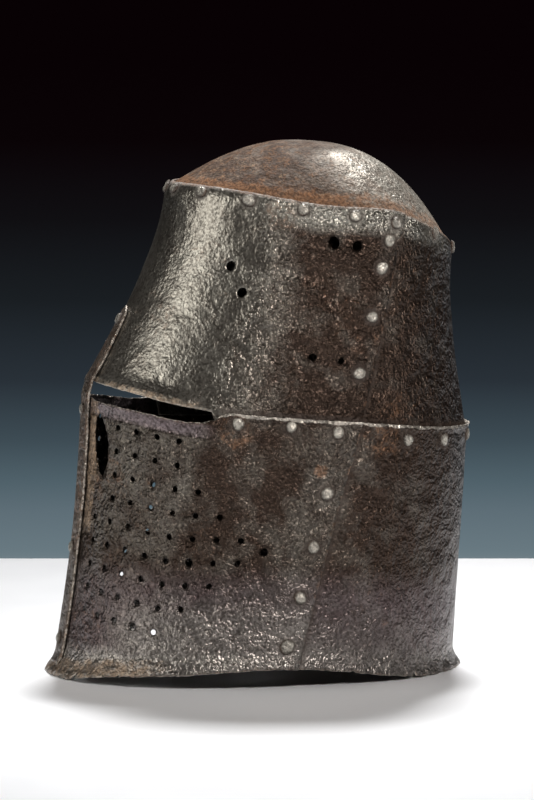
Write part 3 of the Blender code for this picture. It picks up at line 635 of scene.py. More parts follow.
def triangulated(outline, holes, cell):
    """Sheet of angles and levels cut into triangles, and each corner's distance from every border and
    from the outline alone, in metres."""
    loops = [outline] + [hole * SHEET_SCALE for hole in holes]
    points = np.concatenate(loops + [sheet_grid(loops, cell)])
    edges, first = [], 0
    for loop in loops:
        index = first + np.arange(len(loop))
        edges += np.stack((index, np.roll(index, -1)), axis=-1).tolist()
        first += len(loop)
    corners, _, faces = delaunay_2d_cdt(points.tolist(), edges, [], 0, 0.0001)[:3]
    corners, faces = np.array(corners), np.array(faces)
    centres = corners[faces].mean(axis=1)
    kept = inside(loops[0], centres)
    for loop in loops[1:]:
        kept &= ~inside(loop, centres)
    faces = faces[kept]
    used = np.unique(faces)
    order = np.zeros(len(corners), int)
    order[used] = np.arange(len(used))
    corners = corners[used] / SHEET_SCALE
    on_wall = wall_point(corners[:, 0], corners[:, 1])
    rim = resampled(outline, 1.0) / SHEET_SCALE
    from_outline = nearest(on_wall, wall_point(rim[:, 0], rim[:, 1]))
    distance = from_outline
    if holes:
        rings = np.concatenate([resampled(loop, 1.0) for loop in loops[1:]]) / SHEET_SCALE
        distance = np.minimum(distance, nearest(on_wall, wall_point(rings[:, 0], rings[:, 1])))
    return corners, order[faces], distance, from_outline


def border_edges(faces):
    """Directed edges of triangles that no other triangle runs the other way."""
    edges = np.concatenate((faces[:, (0, 1)], faces[:, (1, 2)], faces[:, (2, 0)]))
    count = int(faces.max()) + 1
    code = edges[:, 0] * count + edges[:, 1]
    back = edges[:, 1] * count + edges[:, 0]
    return edges[~np.isin(code, back)]


def closed_sheet(faces, count):
    """Triangles of both faces of a sheet and of the wall round its borders."""
    edges = border_edges(faces)
    start, end = edges[:, 0], edges[:, 1]
    wall_a = np.stack((end, start, start + count), axis=-1)
    wall_b = np.stack((end, start + count, end + count), axis=-1)
    return np.concatenate((faces, faces[:, ::-1] + count, wall_a, wall_b))


def new_piece(name, points, faces, attributes, material, nodes):
    """Mesh object from arrays of points and triangles, riding on the helm in place of its nodes."""
    mesh = bpy.data.meshes.new(name)
    mesh.vertices.add(len(points))
    mesh.vertices.foreach_set("co", np.ascontiguousarray(points, np.float32).ravel())
    mesh.loops.add(faces.size)
    mesh.loops.foreach_set("vertex_index", np.ascontiguousarray(faces, np.int32).ravel())
    mesh.polygons.add(len(faces))
    mesh.polygons.foreach_set("loop_start", np.arange(len(faces), dtype=np.int32) * faces.shape[1])
    mesh.update(calc_edges=True)
    mesh.shade_smooth()
    for key, values in attributes.items():
        layer_data = mesh.attributes.new(key, "FLOAT", "POINT")
        layer_data.data.foreach_set("value", np.ascontiguousarray(values, np.float32))
    mesh.materials.append(material)
    piece = bpy.data.objects.new(name, mesh)
    bpy.context.scene.collection.objects.link(piece)
    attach(piece, "root")
    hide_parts(*nodes)
    return piece


# Rusty places on each plate: angle, level, radius in millimetres and strength
Spot = namedtuple("Spot", "angle level radius strength")
RUST_SPOTS = {
    "face_plate": (
        Spot(60, 0.93, 14, 0.30), Spot(83, 0.80, 5, 0.45), Spot(57, 0.50, 14, 0.20), Spot(20, 0.70, 20, 0.26),
        Spot(36, 0.62, 22, 0.20), Spot(14, 0.2, 26, 0.24), Spot(42, 0.28, 24, 0.14),
        Spot(-18, 0.72, 22, 0.30), Spot(-50, 0.5, 30, 0.24),
    ),
    "brow_plate": (
        Spot(36, 1.68, 18, 0.20), Spot(48, 1.42, 24, 0.16), Spot(60, 1.93, 14, 0.30), Spot(74, 1.55, 26, 0.18),
        Spot(20, 1.35, 24, 0.22), Spot(88, 1.45, 22, 0.22), Spot(-40, 1.5, 36, 0.22), Spot(-80, 1.3, 30, 0.24),
    ),
    "lower_back_plate": (Spot(100, 0.93, 14, 0.30), Spot(112, 0.3, 26, 0.18), Spot(180, 0.6, 44, 0.24)),
    "upper_back_plate": (Spot(106, 1.06, 16, 0.26), Spot(118, 1.6, 28, 0.18), Spot(200, 1.5, 44, 0.24)),
    "front_bar": (Spot(0, 0.7, 60, 0.30), Spot(0, 1.2, 40, 0.22)),
}


def spot_chart(plate, angle, level):
    """Chart of rusty places: each spot falls off smoothly with its distance along the wall."""
    here = wall_point(angle, level)
    chart = np.zeros(angle.shape)
    for spot in RUST_SPOTS[plate]:
        centre = wall_point(spot.angle, spot.level)
        apart = np.linalg.norm(here - centre, axis=-1)
        chart = np.maximum(chart, spot.strength * ease(1.6 - apart / (spot.radius * MM)))
    return chart


def rivet_painted_shade(plate, angle, level):
    """Chart of painted shade round the rivet heads: full at a head's edge, gone a few millimetres out."""
    seats = [seat for seat in CROWN_RIVETS + UPPER_SEAM_RIVETS + WAIST_RIVETS + LOWER_SEAM_RIVETS + BAR_RIVETS
             if seat.plate == plate]
    if not seats:
        return np.zeros(angle.shape)
    turns = np.array([seat.angle for seat in seats])
    levels = np.array([seat.level for seat in seats])
    centres = wall_point(np.concatenate((turns, -turns)), np.concatenate((levels, levels)))
    apart = nearest(wall_point(angle, level), centres)
    return ease((RIVET_SHADE_REACH - apart) / (RIVET_SHADE_REACH - sizes().rivet_radius))


def seam_shade_and_dirt(plate, angle, level):
    """Chart of painted shade in the corners beside a lapping edge, and of dark dirt on the top edge under the dome."""
    turn = folded(angle)
    if plate == "lower_back_plate":
        # painted shade beside the face plate's rear edge
        return 0.9 * band(turn - lower_seam(level), 0.0, 0.5, 1.2)
    if plate in ("upper_back_plate", "brow_plate"):
        # painted shade just above the lower plates' top edge at the waist
        corner = 0.8 * band(level, 1.0, 1.012, 0.012) * ease((turn - 54.0) / 3.0)
        # dark dirt along the top edge under the dome
        corner = np.maximum(corner, 0.9 * ease((level - 1.982) / 0.01))
        if plate == "upper_back_plate":
            # painted shade beside the brow plate's rear edge
            corner = np.maximum(corner, 0.9 * band(turn - upper_seam(level), 0.0, 0.5, 1.2))
        return corner
    return np.zeros(angle.shape)


def band(value, low, high, soft):
    """One between two limits, falling off smoothly outside them."""
    return ease((value - low) / soft + 1.0) * ease((high - value) / soft + 1.0)


def burnish_and_highlight(plate, angle, level):
    """Chart of how grey and bare the iron is: most at the front of the brow, less towards the rear, with a grey band
    just under the crown seam that is a painted highlight.
    """
    turn = folded(angle)
    if plate == "brow_plate":
        front = 0.64 * ease((78.0 - turn) / 34.0)
        # the grey band just under the crown seam is a painted highlight
        return np.maximum(front, 0.95 * band(level, 1.93, 2.0, 0.09) * ease((turn - 30.0) / 30.0))
    if plate == "face_plate":
        cheek = 0.18 * band(turn, 20.0, 45.0, 10.0) * band(level, 0.52, 0.86, 0.16)
        foot = 0.70 * ease((0.36 - level) / 0.22) * ease((turn - 24.0) / 18.0)
        foot = np.maximum(foot, 0.95 * ease((0.14 - level) / 0.08))
        seam = 0.16 * ease((turn - 76.0) / 8.0)
        return 0.05 + np.maximum(np.maximum(cheek, foot), seam)
    if plate == "lower_back_plate":
        foot = 0.28 * ease((0.34 - level) / 0.24) + 0.50 * ease((0.13 - level) / 0.08)
        return foot + 0.08 * ease((104.0 - turn) / 10.0)
    if plate == "upper_back_plate":
        # grey band just under the crown seam: a painted highlight
        return 0.75 * band(level, 1.94, 2.0, 0.08) * ease((160.0 - turn) / 30.0)
    return np.full(angle.shape, 0.22)


def relief(plate, angle, level):
    """Chart of how deep the pitting is: deepest at the sides of the brow, calmer at the front and low down."""
    turn = folded(angle)
    if plate == "brow_plate":
        return 0.22 + 0.98 * ease((turn - 46.0) / 24.0)
    if plate == "face_plate":
        return 0.80 + 0.30 * ease((level - 0.35) / 0.3)
    if plate == "lower_back_plate":
        return 0.65 + 0.35 * ease((0.35 - level) / 0.3)
    return np.ones(angle.shape)


def finish_charts(plate, angle, level, distance, from_outline):
    """Charts that the materials read: distance to an edge, burnish with a painted highlight band, dirt with painted
    shade, rust, violet patina, ochre crust.
    """
    turn = folded(angle)
    rust = spot_chart(plate, angle, level)
    violet = np.zeros(angle.shape)
    ochre = np.zeros(angle.shape)
    if plate == "face_plate":
        violet = band(level, 0.900, 0.935, 0.014) * ease((56.0 - turn) / 8.0)
        ochre = 0.40 * band(level, 0.0, 0.05, 0.04) * ease((70.0 - turn) / 30.0)
        ochre = np.maximum(ochre, 0.42 * band(turn, 7.0, 11.0, 4.0) * band(level, 0.55, 0.93, 0.15))
        violet = np.maximum(violet, 0.50 * band(level, 0.03, 0.30, 0.14))
    if plate == "brow_plate":
        ochre = 0.38 * band(level, 0.99, 1.02, 0.02) * ease((57.0 - turn) / 10.0)
    if plate == "lower_back_plate":
        violet = 0.55 * band(level, 0.02, 0.28, 0.16)
    if plate == "front_bar":
        ochre = 0.15 * ease(1.0 - distance / (2.5 * MM))
    seam = ease(1.0 - from_outline / (5.0 * MM))
    rust = np.maximum(rust, 0.30 * seam)
    crown_seam = ease((level - 1.955) / 0.03)
    rust = np.maximum(rust, 0.42 * ease((level - 1.975) / 0.02))
    edge = np.minimum(from_outline, distance + HOLE_WEAR_STEP) / MM + 5.0 * crown_seam
    # painted shade round rivet heads and beside lapping edges, with dark dirt on the top edge
    dirt_and_shade = np.maximum(rivet_painted_shade(plate, angle, level), seam_shade_and_dirt(plate, angle, level))
    # The lower plates' top edge at the waist is bright in a wide band, partly wear and partly a painted highlight
    # along the lip
    if plate in ("face_plate", "lower_back_plate"):
        uneven = 0.70 + 0.22 * np.sin(0.61 * angle) + 0.12 * np.sin(1.43 * angle + 1.0)
        edge = edge - WAIST_WEAR_AND_HIGHLIGHT * uneven * ease((level - 0.97) / 0.02) * ease((turn - 54.0) / 3.0)
    if plate in ("face_plate", "brow_plate"):
        edge = edge + 0.8 * ease((turn - 84.0) / 4.0)
    return {"edge": edge, "grey": burnish_and_highlight(plate, angle, level), "dirt_and_shade": dirt_and_shade, "rust": rust, "violet": violet, "ochre": ochre,
            "relief": relief(plate, angle, level) * (1.0 - 0.45 * violet)}


def crown_charts(angle, level):
    """Charts of the dome: ochre and rust round its seam, rustier at the front, barer at the rear."""
    seam = 1.0 - ease(np.abs(level - 2.03) / 0.10)
    rearness = 0.5 - 0.5 * np.cos(np.radians(angle))
    bare = band(angle, 100.0, 160.0, 30.0) * band(level, 2.05, 2.45, 0.2)
    plain = np.zeros(angle.shape)
    return {"edge": plain + 20.0, "grey": 0.02 + 0.16 * rearness + 0.6 * bare, "dirt_and_shade": 0.5 * seam ** 2,
            "rust": 0.14 + 0.24 * seam + 0.14 * (1.0 - rearness), "violet": plain,
            "ochre": 0.10 + 0.12 * (1.0 - rearness), "relief": plain + 1.0}


def dents(plate, angle, level):
    """Depth of the small dents: round bowls that fall off smoothly with their distance along the wall."""
    depth = np.zeros(angle.shape)
    for dent in DENTS:
        if dent.plate == plate:
            apart = np.linalg.norm(wall_point(angle, level) - wall_point(dent.angle, dent.level), axis=-1)
            depth += dent.depth * ease(1.0 - apart / dent.radius)
    return depth


def plate_piece(plate, outline, holes, cell, material, seed):
    """Plate from its outline and holes: both faces, rounded and eaten edges, and its charts."""
    outline = eaten(resampled(np.asarray(outline) * SHEET_SCALE, 1.3), seed, sizes().raggedness / MM)
    outline[:, 1] = np.clip(outline[:, 1], 0.0, 2.0 * SHEET_SCALE[1])
    corners, faces, distance, from_outline = triangulated(outline, holes, cell)
    angle, level = corners[:, 0], corners[:, 1]
    fall = sizes().edge_rounding * (1.0 - ease(distance / (1.6 * MM))) + dents(plate, angle, level)
    outer = plate_surface(plate, angle, level, fall)
    inner = plate_surface(plate, angle, level, sizes().plate - 0.5 * np.minimum(fall, sizes().edge_rounding))
    charts = finish_charts(plate, angle, level, distance, from_outline)
    charts = {key: np.tile(values, 2) for key, values in charts.items()}
    solid = closed_sheet(faces, len(corners))
    return new_piece(plate + "_iron", np.concatenate((outer, inner)), solid, charts, material, [plate])


def rim_line(first, last, nicks, seed):
    """Bottom edge: a ragged level along the rim, raised into a V at each nick."""
    angle = np.arange(first, last, 0.7)
    level = 0.006 * ragged(len(angle), seed) ** 3
    for nick in nicks:
        level = np.maximum(level, nick.depth * (1.0 - np.abs(angle - nick.angle) / nick.half_width))
    return np.stack((angle, level), axis=-1).tolist()


def build_face_plate():
    """Lower front plate with the sights' lower edges, the breaths and the rust gaps."""
    rim, waist = lower_seam(0.0), lower_seam(1.0)
    left_top = [(rim, 0.0), (waist, 1.0)] + list(SIGHT_END)
    right_top = [(-angle, level) for angle, level in reversed(left_top)]
    outline = rim_line(-rim, rim, FACE_NICKS, 11) + left_top + right_top[:-1]
    gaps = [np.array(gap) for gap in (LEFT_RUST_GAP, RIGHT_RUST_GAP)]
    holes = breath_loops() + [rusted_gap(gap, seed) for seed, gap in enumerate(gaps)]
    return plate_piece("face_plate", outline, holes, CELL, iron("face_iron"), 21)


def rusted_gap(gap, seed):
    """Ragged outline of a place rusted through, from its few given corners."""
    fine = resampled(gap * SHEET_SCALE, 1.2)
    along = unit(np.roll(fine, -1, axis=0) - np.roll(fine, 1, axis=0))
    out = np.stack((along[:, 1], -along[:, 0]), axis=-1)
    centre = fine.mean(axis=0)
    out *= np.sign(np.sum(out * (fine - centre), axis=1))[:, None]
    return (fine + out * (ragged(len(fine), 70 + seed) - 0.6)[:, None] * 1.3) / SHEET_SCALE


def build_lower_back_plate():
    """Lower rear plate."""
    rim, waist = lower_seam(0.0) - SEAM_LAP, lower_seam(1.0) - SEAM_LAP
    outline = rim_line(rim, 360.0 - rim, BACK_NICKS, 12)
    outline += [(360.0 - rim, 0.0), (360.0 - waist, 1.0), (waist, 1.0)]
    return plate_piece("lower_back_plate", outline, [], BACK_CELL, iron("back_iron"), 22)


def build_brow_plate():
    """Upper front plate with the sights' upper edges and the lacing holes."""
    foot, crown = upper_seam(WAIST_LAP_LEVEL), upper_seam(2.0)
    brow_end = BROW_LEVEL - BROW_DROP
    left = [(0.0, BROW_LEVEL), (30.0, BROW_LEVEL - BROW_DROP / 3.0), (BROW_SIGHT_END, brow_end)]
    left += [(BROW_TAB, WAIST_LAP_LEVEL), (foot, WAIST_LAP_LEVEL), (crown, 2.0)]
    right = [(-angle, level) for angle, level in reversed(left[1:])]
    holes = []
    for number, hole in enumerate(LACING_HOLES):
        for side in (1, -1):
            holes.append(round_hole(side * hole.angle, hole.level, hole.radius, LACING_SIDES, 50 + number))
    return plate_piece("brow_plate", left + right, holes, CELL, iron("brow_iron"), 23)


def build_upper_back_plate():
    """Upper rear plate."""
    foot, crown = upper_seam(WAIST_LAP_LEVEL) - SEAM_LAP, upper_seam(2.0) - SEAM_LAP
    outline = [(foot, WAIST_LAP_LEVEL), (360.0 - foot, WAIST_LAP_LEVEL), (360.0 - crown, 2.0), (crown, 2.0)]
    return plate_piece("upper_back_plate", outline, [], BACK_CELL, iron("back_iron"), 24)


def build_front_bar():
    """Upright strap over the front ridge, narrower towards its pointed tip."""
    levels = np.linspace(BAR_FOOT, BAR_SHOULDER, 60)
    taper = ease((levels - BAR_TAPER_LEVEL) / (BAR_TIP - BAR_TAPER_LEVEL))
    half = mix(BAR_HALF_WIDTH, BAR_TIP_HALF_WIDTH, taper)
    left = np.stack((half, levels), axis=-1).tolist()
    right = np.stack((-half[::-1], levels[::-1]), axis=-1).tolist()
    outline = left + [(0.0, BAR_TIP)] + right
    return plate_piece("front_bar", outline, [], 1.3, iron("bar_iron"), 25)


def build_crown_cap():
    """Domed top plate: rings of points from the turned-down flange to the top, closed at both ends."""
    columns = 300
    flange = np.linspace(FLANGE_LEVEL, 2.0, 7)[:-1]
    rings = 3.0 - np.linspace(1.0, 0.0, 75) ** 0.85
    levels = np.concatenate((flange, rings))[:-1]
    angle, level = np.meshgrid(np.arange(columns) * 360.0 / columns, levels)
    fall = sizes().edge_rounding * (1.0 - ease((level - FLANGE_LEVEL) / 0.02))
    outer = dome_surface(angle, level, fall).reshape(-1, 3)
    inner = dome_surface(angle, level, sizes().plate - 0.5 * fall).reshape(-1, 3)
    tips = dome_surface(np.zeros(2), np.full(2, 3.0), np.array((0.0, sizes().plate)))
    count = len(outer)
    index = np.arange(count).reshape(level.shape)
    ahead = np.roll(index, -1, axis=1)
    low_a, low_b, high_a, high_b = index[:-1], ahead[:-1], index[1:], ahead[1:]
    face_a = np.stack((low_a, low_b, high_b), axis=-1).reshape(-1, 3)
    face_b = np.stack((low_a, high_b, high_a), axis=-1).reshape(-1, 3)
    fan = np.stack((index[-1], ahead[-1], np.full(columns, 2 * count)), axis=-1)
    inner_fan = np.stack((ahead[-1] + count, index[-1] + count, np.full(columns, 2 * count + 1)), axis=-1)
    shell = np.concatenate((face_a, face_b))
    foot_a = np.stack((ahead[0], index[0], index[0] + count), axis=-1)
    foot_b = np.stack((ahead[0], index[0] + count, ahead[0] + count), axis=-1)
    faces = np.concatenate((shell, shell[:, ::-1] + count, fan, inner_fan, foot_a, foot_b))
    charts = crown_charts(angle.ravel(), level.ravel())
    charts = {key: np.concatenate((np.tile(values, 2), values[-1:], values[-1:])) for key, values in charts.items()}
    points = np.concatenate((outer, inner, tips))
    return new_piece("crown_cap_iron", points, faces, charts, iron("crown_iron"), ["crown_cap"])


def rivet_bodies(seats, seed):
    """Points and triangles of rivets: one hammered profile turned about each seat's outward direction.

    The profile's radii and heights are shares of the head's size, and its radius swells and shrinks
    a little with the turn, by sine waves of two and three lobes with seeded phases.
    """
    rng = np.random.default_rng(seed)
    angle = np.array([seat.angle for seat in seats])
    level = np.array([seat.level for seat in seats])
    grown = np.array([seat.size for seat in seats])
    centre = np.concatenate([plate_surface(seat.plate, angle[i:i + 1], level[i:i + 1], np.zeros(1))
                             for i, seat in enumerate(seats)])
    tilt = rng.normal(0.0, 0.05, (len(seats), 3))
    axis = unit(wall_normal(angle, level) + tilt)
    side = unit(wall_point(angle + 1.0, level) - wall_point(angle - 1.0, level))
    side = unit(side - axis * np.sum(side * axis, axis=-1, keepdims=True))
    rise = np.cross(axis, side)
    radius, height = sizes().rivet_radius, sizes().rivet_height
    stack = 2.2 * (sizes().plate + sizes().gap)
    reach = np.array((0.28, 0.52, 0.74, 0.90, 0.99, 1.0, 0.93, 0.45, 0.45, 0.62, 0.55)) * radius
    above = np.array((0.96, 0.93, 0.80, 0.52, 0.20, -0.02, -0.10, -0.12, 0.0, 0.0, 0.0)) * height
    above[8:] = -stack - np.array((0.0, 0.1, 0.7)) * MM
    turn = 2.0 * math.pi * np.arange(RIVET_SECTORS) / RIVET_SECTORS
    lobes = 1.0 + 0.07 * np.sin(2.0 * turn + rng.uniform(0, 6.28, (len(seats), 1)))
    lobes += 0.04 * np.sin(3.0 * turn + rng.uniform(0, 6.28, (len(seats), 1)))
    spread = grown[:, None, None] * reach[None, :, None] * lobes[:, None, :]
    dents = 1.0 + 0.08 * np.sin(2.0 * turn + rng.uniform(0, 6.28, (len(seats), 1)))
    lift = above[None, :, None] * np.where(above[None, :, None] > 0.0, dents[:, None, :], 1.0)
    points = centre[:, None, None, :] + axis[:, None, None, :] * lift[..., None]
    points = points + side[:, None, None, :] * (spread * np.cos(turn))[..., None]
    points = points + rise[:, None, None, :] * (spread * np.sin(turn))[..., None]
    poles = np.array((0.95 * height, above[-1] - 0.2 * MM))
    tips = centre[:, None, :] + axis[:, None, :] * poles[None, :, None]
    points = np.concatenate((points.reshape(len(seats), -1, 3), tips), axis=1)
    block = len(reach) * RIVET_SECTORS
    index = np.arange(block).reshape(len(reach), RIVET_SECTORS)
    ahead = np.roll(index, -1, axis=1)
    quad = np.stack((index[:-1], index[1:], ahead[1:], ahead[:-1]), axis=-1).reshape(-1, 4)
    head_fan = np.stack((np.full(RIVET_SECTORS, block), index[0], ahead[0]), axis=-1)
    tail_fan = np.stack((np.full(RIVET_SECTORS, block + 1), ahead[-1], index[-1]), axis=-1)
    faces = np.concatenate((quad[:, (0, 1, 2)], quad[:, (0, 2, 3)], head_fan, tail_fan))
    faces = faces[None] + (block + 2) * np.arange(len(seats))[:, None, None]
    crown = np.where(above > 0.0, ease(2.2 - 2.0 * reach / radius), 0.0)
    worn = np.tile(np.concatenate((np.repeat(crown, RIVET_SECTORS), (1.0, 0.0))), len(seats))
    return points.reshape(-1, 3), faces.reshape(-1, 3), worn


def rivet_piece(kind, places, seed, sides=("left", "right")):
    """Rivets of one kind on both sides, or down the middle, as one piece."""
    seats, nodes = [], []
    for word in sides:
        turn = -1.0 if word == "right" else 1.0
        seats += [place._replace(angle=turn * place.angle) for place in places]
        name = kind if word == "" else f"{kind}_{word}"
        nodes += [f"{name}_{number}" for number in range(1, len(places) + 1)]
    points, faces, worn = rivet_bodies(seats, seed)
    count = len(points)
    plain = np.zeros(count)
    charts = {"edge": 0.9 + 5.0 * (1.0 - worn), "grey": 0.1 + 0.90 * worn, "dirt_and_shade": 0.9 * (1.0 - worn),
              "rust": 0.1 + 0.2 * (1.0 - worn), "violet": plain, "ochre": plain + 0.15, "relief": plain + 1.0}
    return new_piece(kind + "s_worn", points, faces, charts, iron("rivet_iron"), nodes)


def socket(tree, way, kind, name, value=None):
    """Named socket of a node group."""
    made = tree.interface.new_socket(name=name, in_out=way, socket_type=kind)
    if value is not None:
        made.default_value = value
    return made


def node(tree, kind, values=None, **settings):
    """Node with its settings and with its inputs set to values or joined to other nodes' outputs."""
    made = tree.nodes.new(kind)
    for key, setting in settings.items():
        setattr(made, key, setting)
    for key, value in (values or {}).items():
        if isinstance(value, bpy.types.NodeSocket):
            tree.links.new(value, made.inputs[key])
        else:
            made.inputs[key].default_value = value
    return made


def maths(tree, operation, first, second=0.0, clamp=False):
    """Result of a sum on two values."""
    return node(tree, "ShaderNodeMath", {0: first, 1: second}, operation=operation, use_clamp=clamp).outputs[0]


def remap(tree, value, low, high, start=0.0, end=1.0):
    """Value taken smoothly from one range to another."""
    made = node(tree, "ShaderNodeMapRange", {"Value": value, "From Min": low, "From Max": high,
                                             "To Min": start, "To Max": end},
                interpolation_type="SMOOTHSTEP")
    return made.outputs["Result"]


def blend_colour(tree, share, first, second, way="MIX"):
    """Two colours mixed by a share."""
    made = tree.nodes.new("ShaderNodeMix")
    made.data_type = "RGBA"
    made.blend_type = way
    for key, value in ((0, share), (6, first), (7, second)):
        if isinstance(value, bpy.types.NodeSocket):
            tree.links.new(value, made.inputs[key])
        else:
            made.inputs[key].default_value = value
    return made.outputs[2]


def noise(tree, vector, scale, detail=3.0, rough=0.55, twist=0.0):
    """Noise value with features about one over the scale wide, in metres."""
    made = node(tree, "ShaderNodeTexNoise", {"Vector": vector, "Scale": scale, "Detail": detail,
                                             "Roughness": rough, "Distortion": twist})
    return made.outputs["Fac"]


def shared_group(name, build):
    """Node group by name, built once."""
    tree = bpy.data.node_groups.get(name)
    if tree is None:
        tree = bpy.data.node_groups.new(name, "ShaderNodeTree")
        build(tree)
    return tree


def build_pitting(tree):
    """Rust pits: curling flakes and rounded cells at the pit size, over slower swells of depth."""
    socket(tree, "INPUT", "NodeSocketVector", "Vector")
    socket(tree, "INPUT", "NodeSocketFloat", "Pit Size", 0.0023)
    socket(tree, "OUTPUT", "NodeSocketFloat", "Height")
    socket(tree, "OUTPUT", "NodeSocketFloat", "Grain")
    socket(tree, "OUTPUT", "NodeSocketFloat", "Pits")
    inputs = tree.nodes.new("NodeGroupInput")
    outputs = tree.nodes.new("NodeGroupOutput")
    vector, size = inputs.outputs["Vector"], inputs.outputs["Pit Size"]
    scale = maths(tree, "DIVIDE", 1.0, size)
    flakes = noise(tree, vector, scale, 2.0, 0.5, 0.25)
    cells = node(tree, "ShaderNodeTexVoronoi", {"Vector": vector, "Scale": maths(tree, "MULTIPLY", scale, 0.8),
                                                "Smoothness": 0.5, "Randomness": 1.0}, feature="SMOOTH_F1")
    swell = noise(tree, vector, maths(tree, "MULTIPLY", scale, 0.17), 3.0, 0.6)
    deep = remap(tree, swell, 0.35, 0.65, 0.45, 1.0)
    grain = maths(tree, "ADD", maths(tree, "MULTIPLY", flakes, 1.0),
                  maths(tree, "MULTIPLY", cells.outputs["Distance"], 0.35))
    height = maths(tree, "ADD", maths(tree, "MULTIPLY", grain, deep), maths(tree, "MULTIPLY", swell, 1.6))
    pits = remap(tree, flakes, 0.50, 0.36)
    tree.links.new(height, outputs.inputs["Height"])
    tree.links.new(remap(tree, flakes, 0.34, 0.66), outputs.inputs["Grain"])
    tree.links.new(maths(tree, "MULTIPLY", pits, deep), outputs.inputs["Pits"])


def build_patches(tree):
    """Patchy mask: a chart of amounts, broken up by noise of two sizes."""
    socket(tree, "INPUT", "NodeSocketVector", "Vector")
    socket(tree, "INPUT", "NodeSocketFloat", "Amount", 0.5)
    socket(tree, "INPUT", "NodeSocketFloat", "Size", 0.008)
    socket(tree, "OUTPUT", "NodeSocketFloat", "Mask")
    inputs = tree.nodes.new("NodeGroupInput")
    outputs = tree.nodes.new("NodeGroupOutput")
    scale = maths(tree, "DIVIDE", 1.0, inputs.outputs["Size"])
    coarse = noise(tree, inputs.outputs["Vector"], scale, 4.0, 0.65, 0.3)
    fine = noise(tree, inputs.outputs["Vector"], maths(tree, "MULTIPLY", scale, 4.3), 2.0, 0.6)
    both = maths(tree, "ADD", maths(tree, "MULTIPLY", coarse, 0.7), maths(tree, "MULTIPLY", fine, 0.3))
    level = maths(tree, "ADD", both, inputs.outputs["Amount"])
    tree.links.new(remap(tree, level, 0.72, 1.02), outputs.inputs["Mask"])


def build_drift(tree):
    """Soft mask: a chart of amounts, drifting up and down with noise, never cut off sharply."""
    socket(tree, "INPUT", "NodeSocketVector", "Vector")
    socket(tree, "INPUT", "NodeSocketFloat", "Amount", 0.5)
    socket(tree, "INPUT", "NodeSocketFloat", "Size", 0.020)
    socket(tree, "OUTPUT", "NodeSocketFloat", "Mask")
    inputs = tree.nodes.new("NodeGroupInput")
    outputs = tree.nodes.new("NodeGroupOutput")
    scale = maths(tree, "DIVIDE", 1.0, inputs.outputs["Size"])
    upset = maths(tree, "SUBTRACT", noise(tree, inputs.outputs["Vector"], scale, 5.0, 0.65, 0.4), 0.5)
    spread = maths(tree, "MULTIPLY", upset, 0.9)
    tree.links.new(maths(tree, "ADD", inputs.outputs["Amount"], spread, True), outputs.inputs["Mask"])


def build_edge_wear(tree):
    """Bright wear along edges: distance to the edge, upset by noise, against a width in millimetres."""
    socket(tree, "INPUT", "NodeSocketVector", "Vector")
    socket(tree, "INPUT", "NodeSocketFloat", "Edge", 10.0)
    socket(tree, "INPUT", "NodeSocketFloat", "Width", 1.0)
    socket(tree, "OUTPUT", "NodeSocketFloat", "Mask")
    inputs = tree.nodes.new("NodeGroupInput")
    outputs = tree.nodes.new("NodeGroupOutput")
    upset = noise(tree, inputs.outputs["Vector"], 300.0, 3.0, 0.6)
    shifted = maths(tree, "ADD", inputs.outputs["Edge"], maths(tree, "MULTIPLY_ADD", upset, 3.0))
    width = maths(tree, "ADD", inputs.outputs["Width"], 1.2)
    share = maths(tree, "DIVIDE", shifted, width)
    tree.links.new(remap(tree, share, 1.0, 0.55), outputs.inputs["Mask"])


def use_group(tree, name, build, values):
    """Shared node group placed in a material."""
    made = tree.nodes.new("ShaderNodeGroup")
    made.node_tree = shared_group(name, build)
    for key, value in values.items():
        if isinstance(value, bpy.types.NodeSocket):
            tree.links.new(value, made.inputs[key])
        else:
            made.inputs[key].default_value = value
    return made


# Finish of each plate: how brown, how deeply pitted, roughness, share of bare metal, specular, edge wear,
# and how much barer and smoother its grey places are
Iron = namedtuple("Iron", "brown pitting rough metal specular wear bare")
IRONS = {
    "crown_iron": Iron(0.50, 0.80, 0.74, 0.00, 0.06, 0.8, 0.80),
    "brow_iron": Iron(0.34, 1.55, 0.31, 0.88, 0.5, 1.7, 0.00),
    "face_iron": Iron(0.28, 1.75, 0.31, 0.85, 0.4, 1.7, 0.05),
    "back_iron": Iron(0.20, 1.75, 0.32, 0.85, 0.3, 1.7, 0.05),
    "bar_iron": Iron(0.50, 1.50, 0.42, 0.65, 0.4, 1.4, 0.05),
    "rivet_iron": Iron(0.30, 1.10, 0.44, 0.45, 0.4, 2.4, 0.10),
}


def toned(tree, base, mask, share, colour):
    """Base colour taken towards another by a share of a mask."""
    return blend_colour(tree, maths(tree, "MULTIPLY", mask, share), base, colour[:])


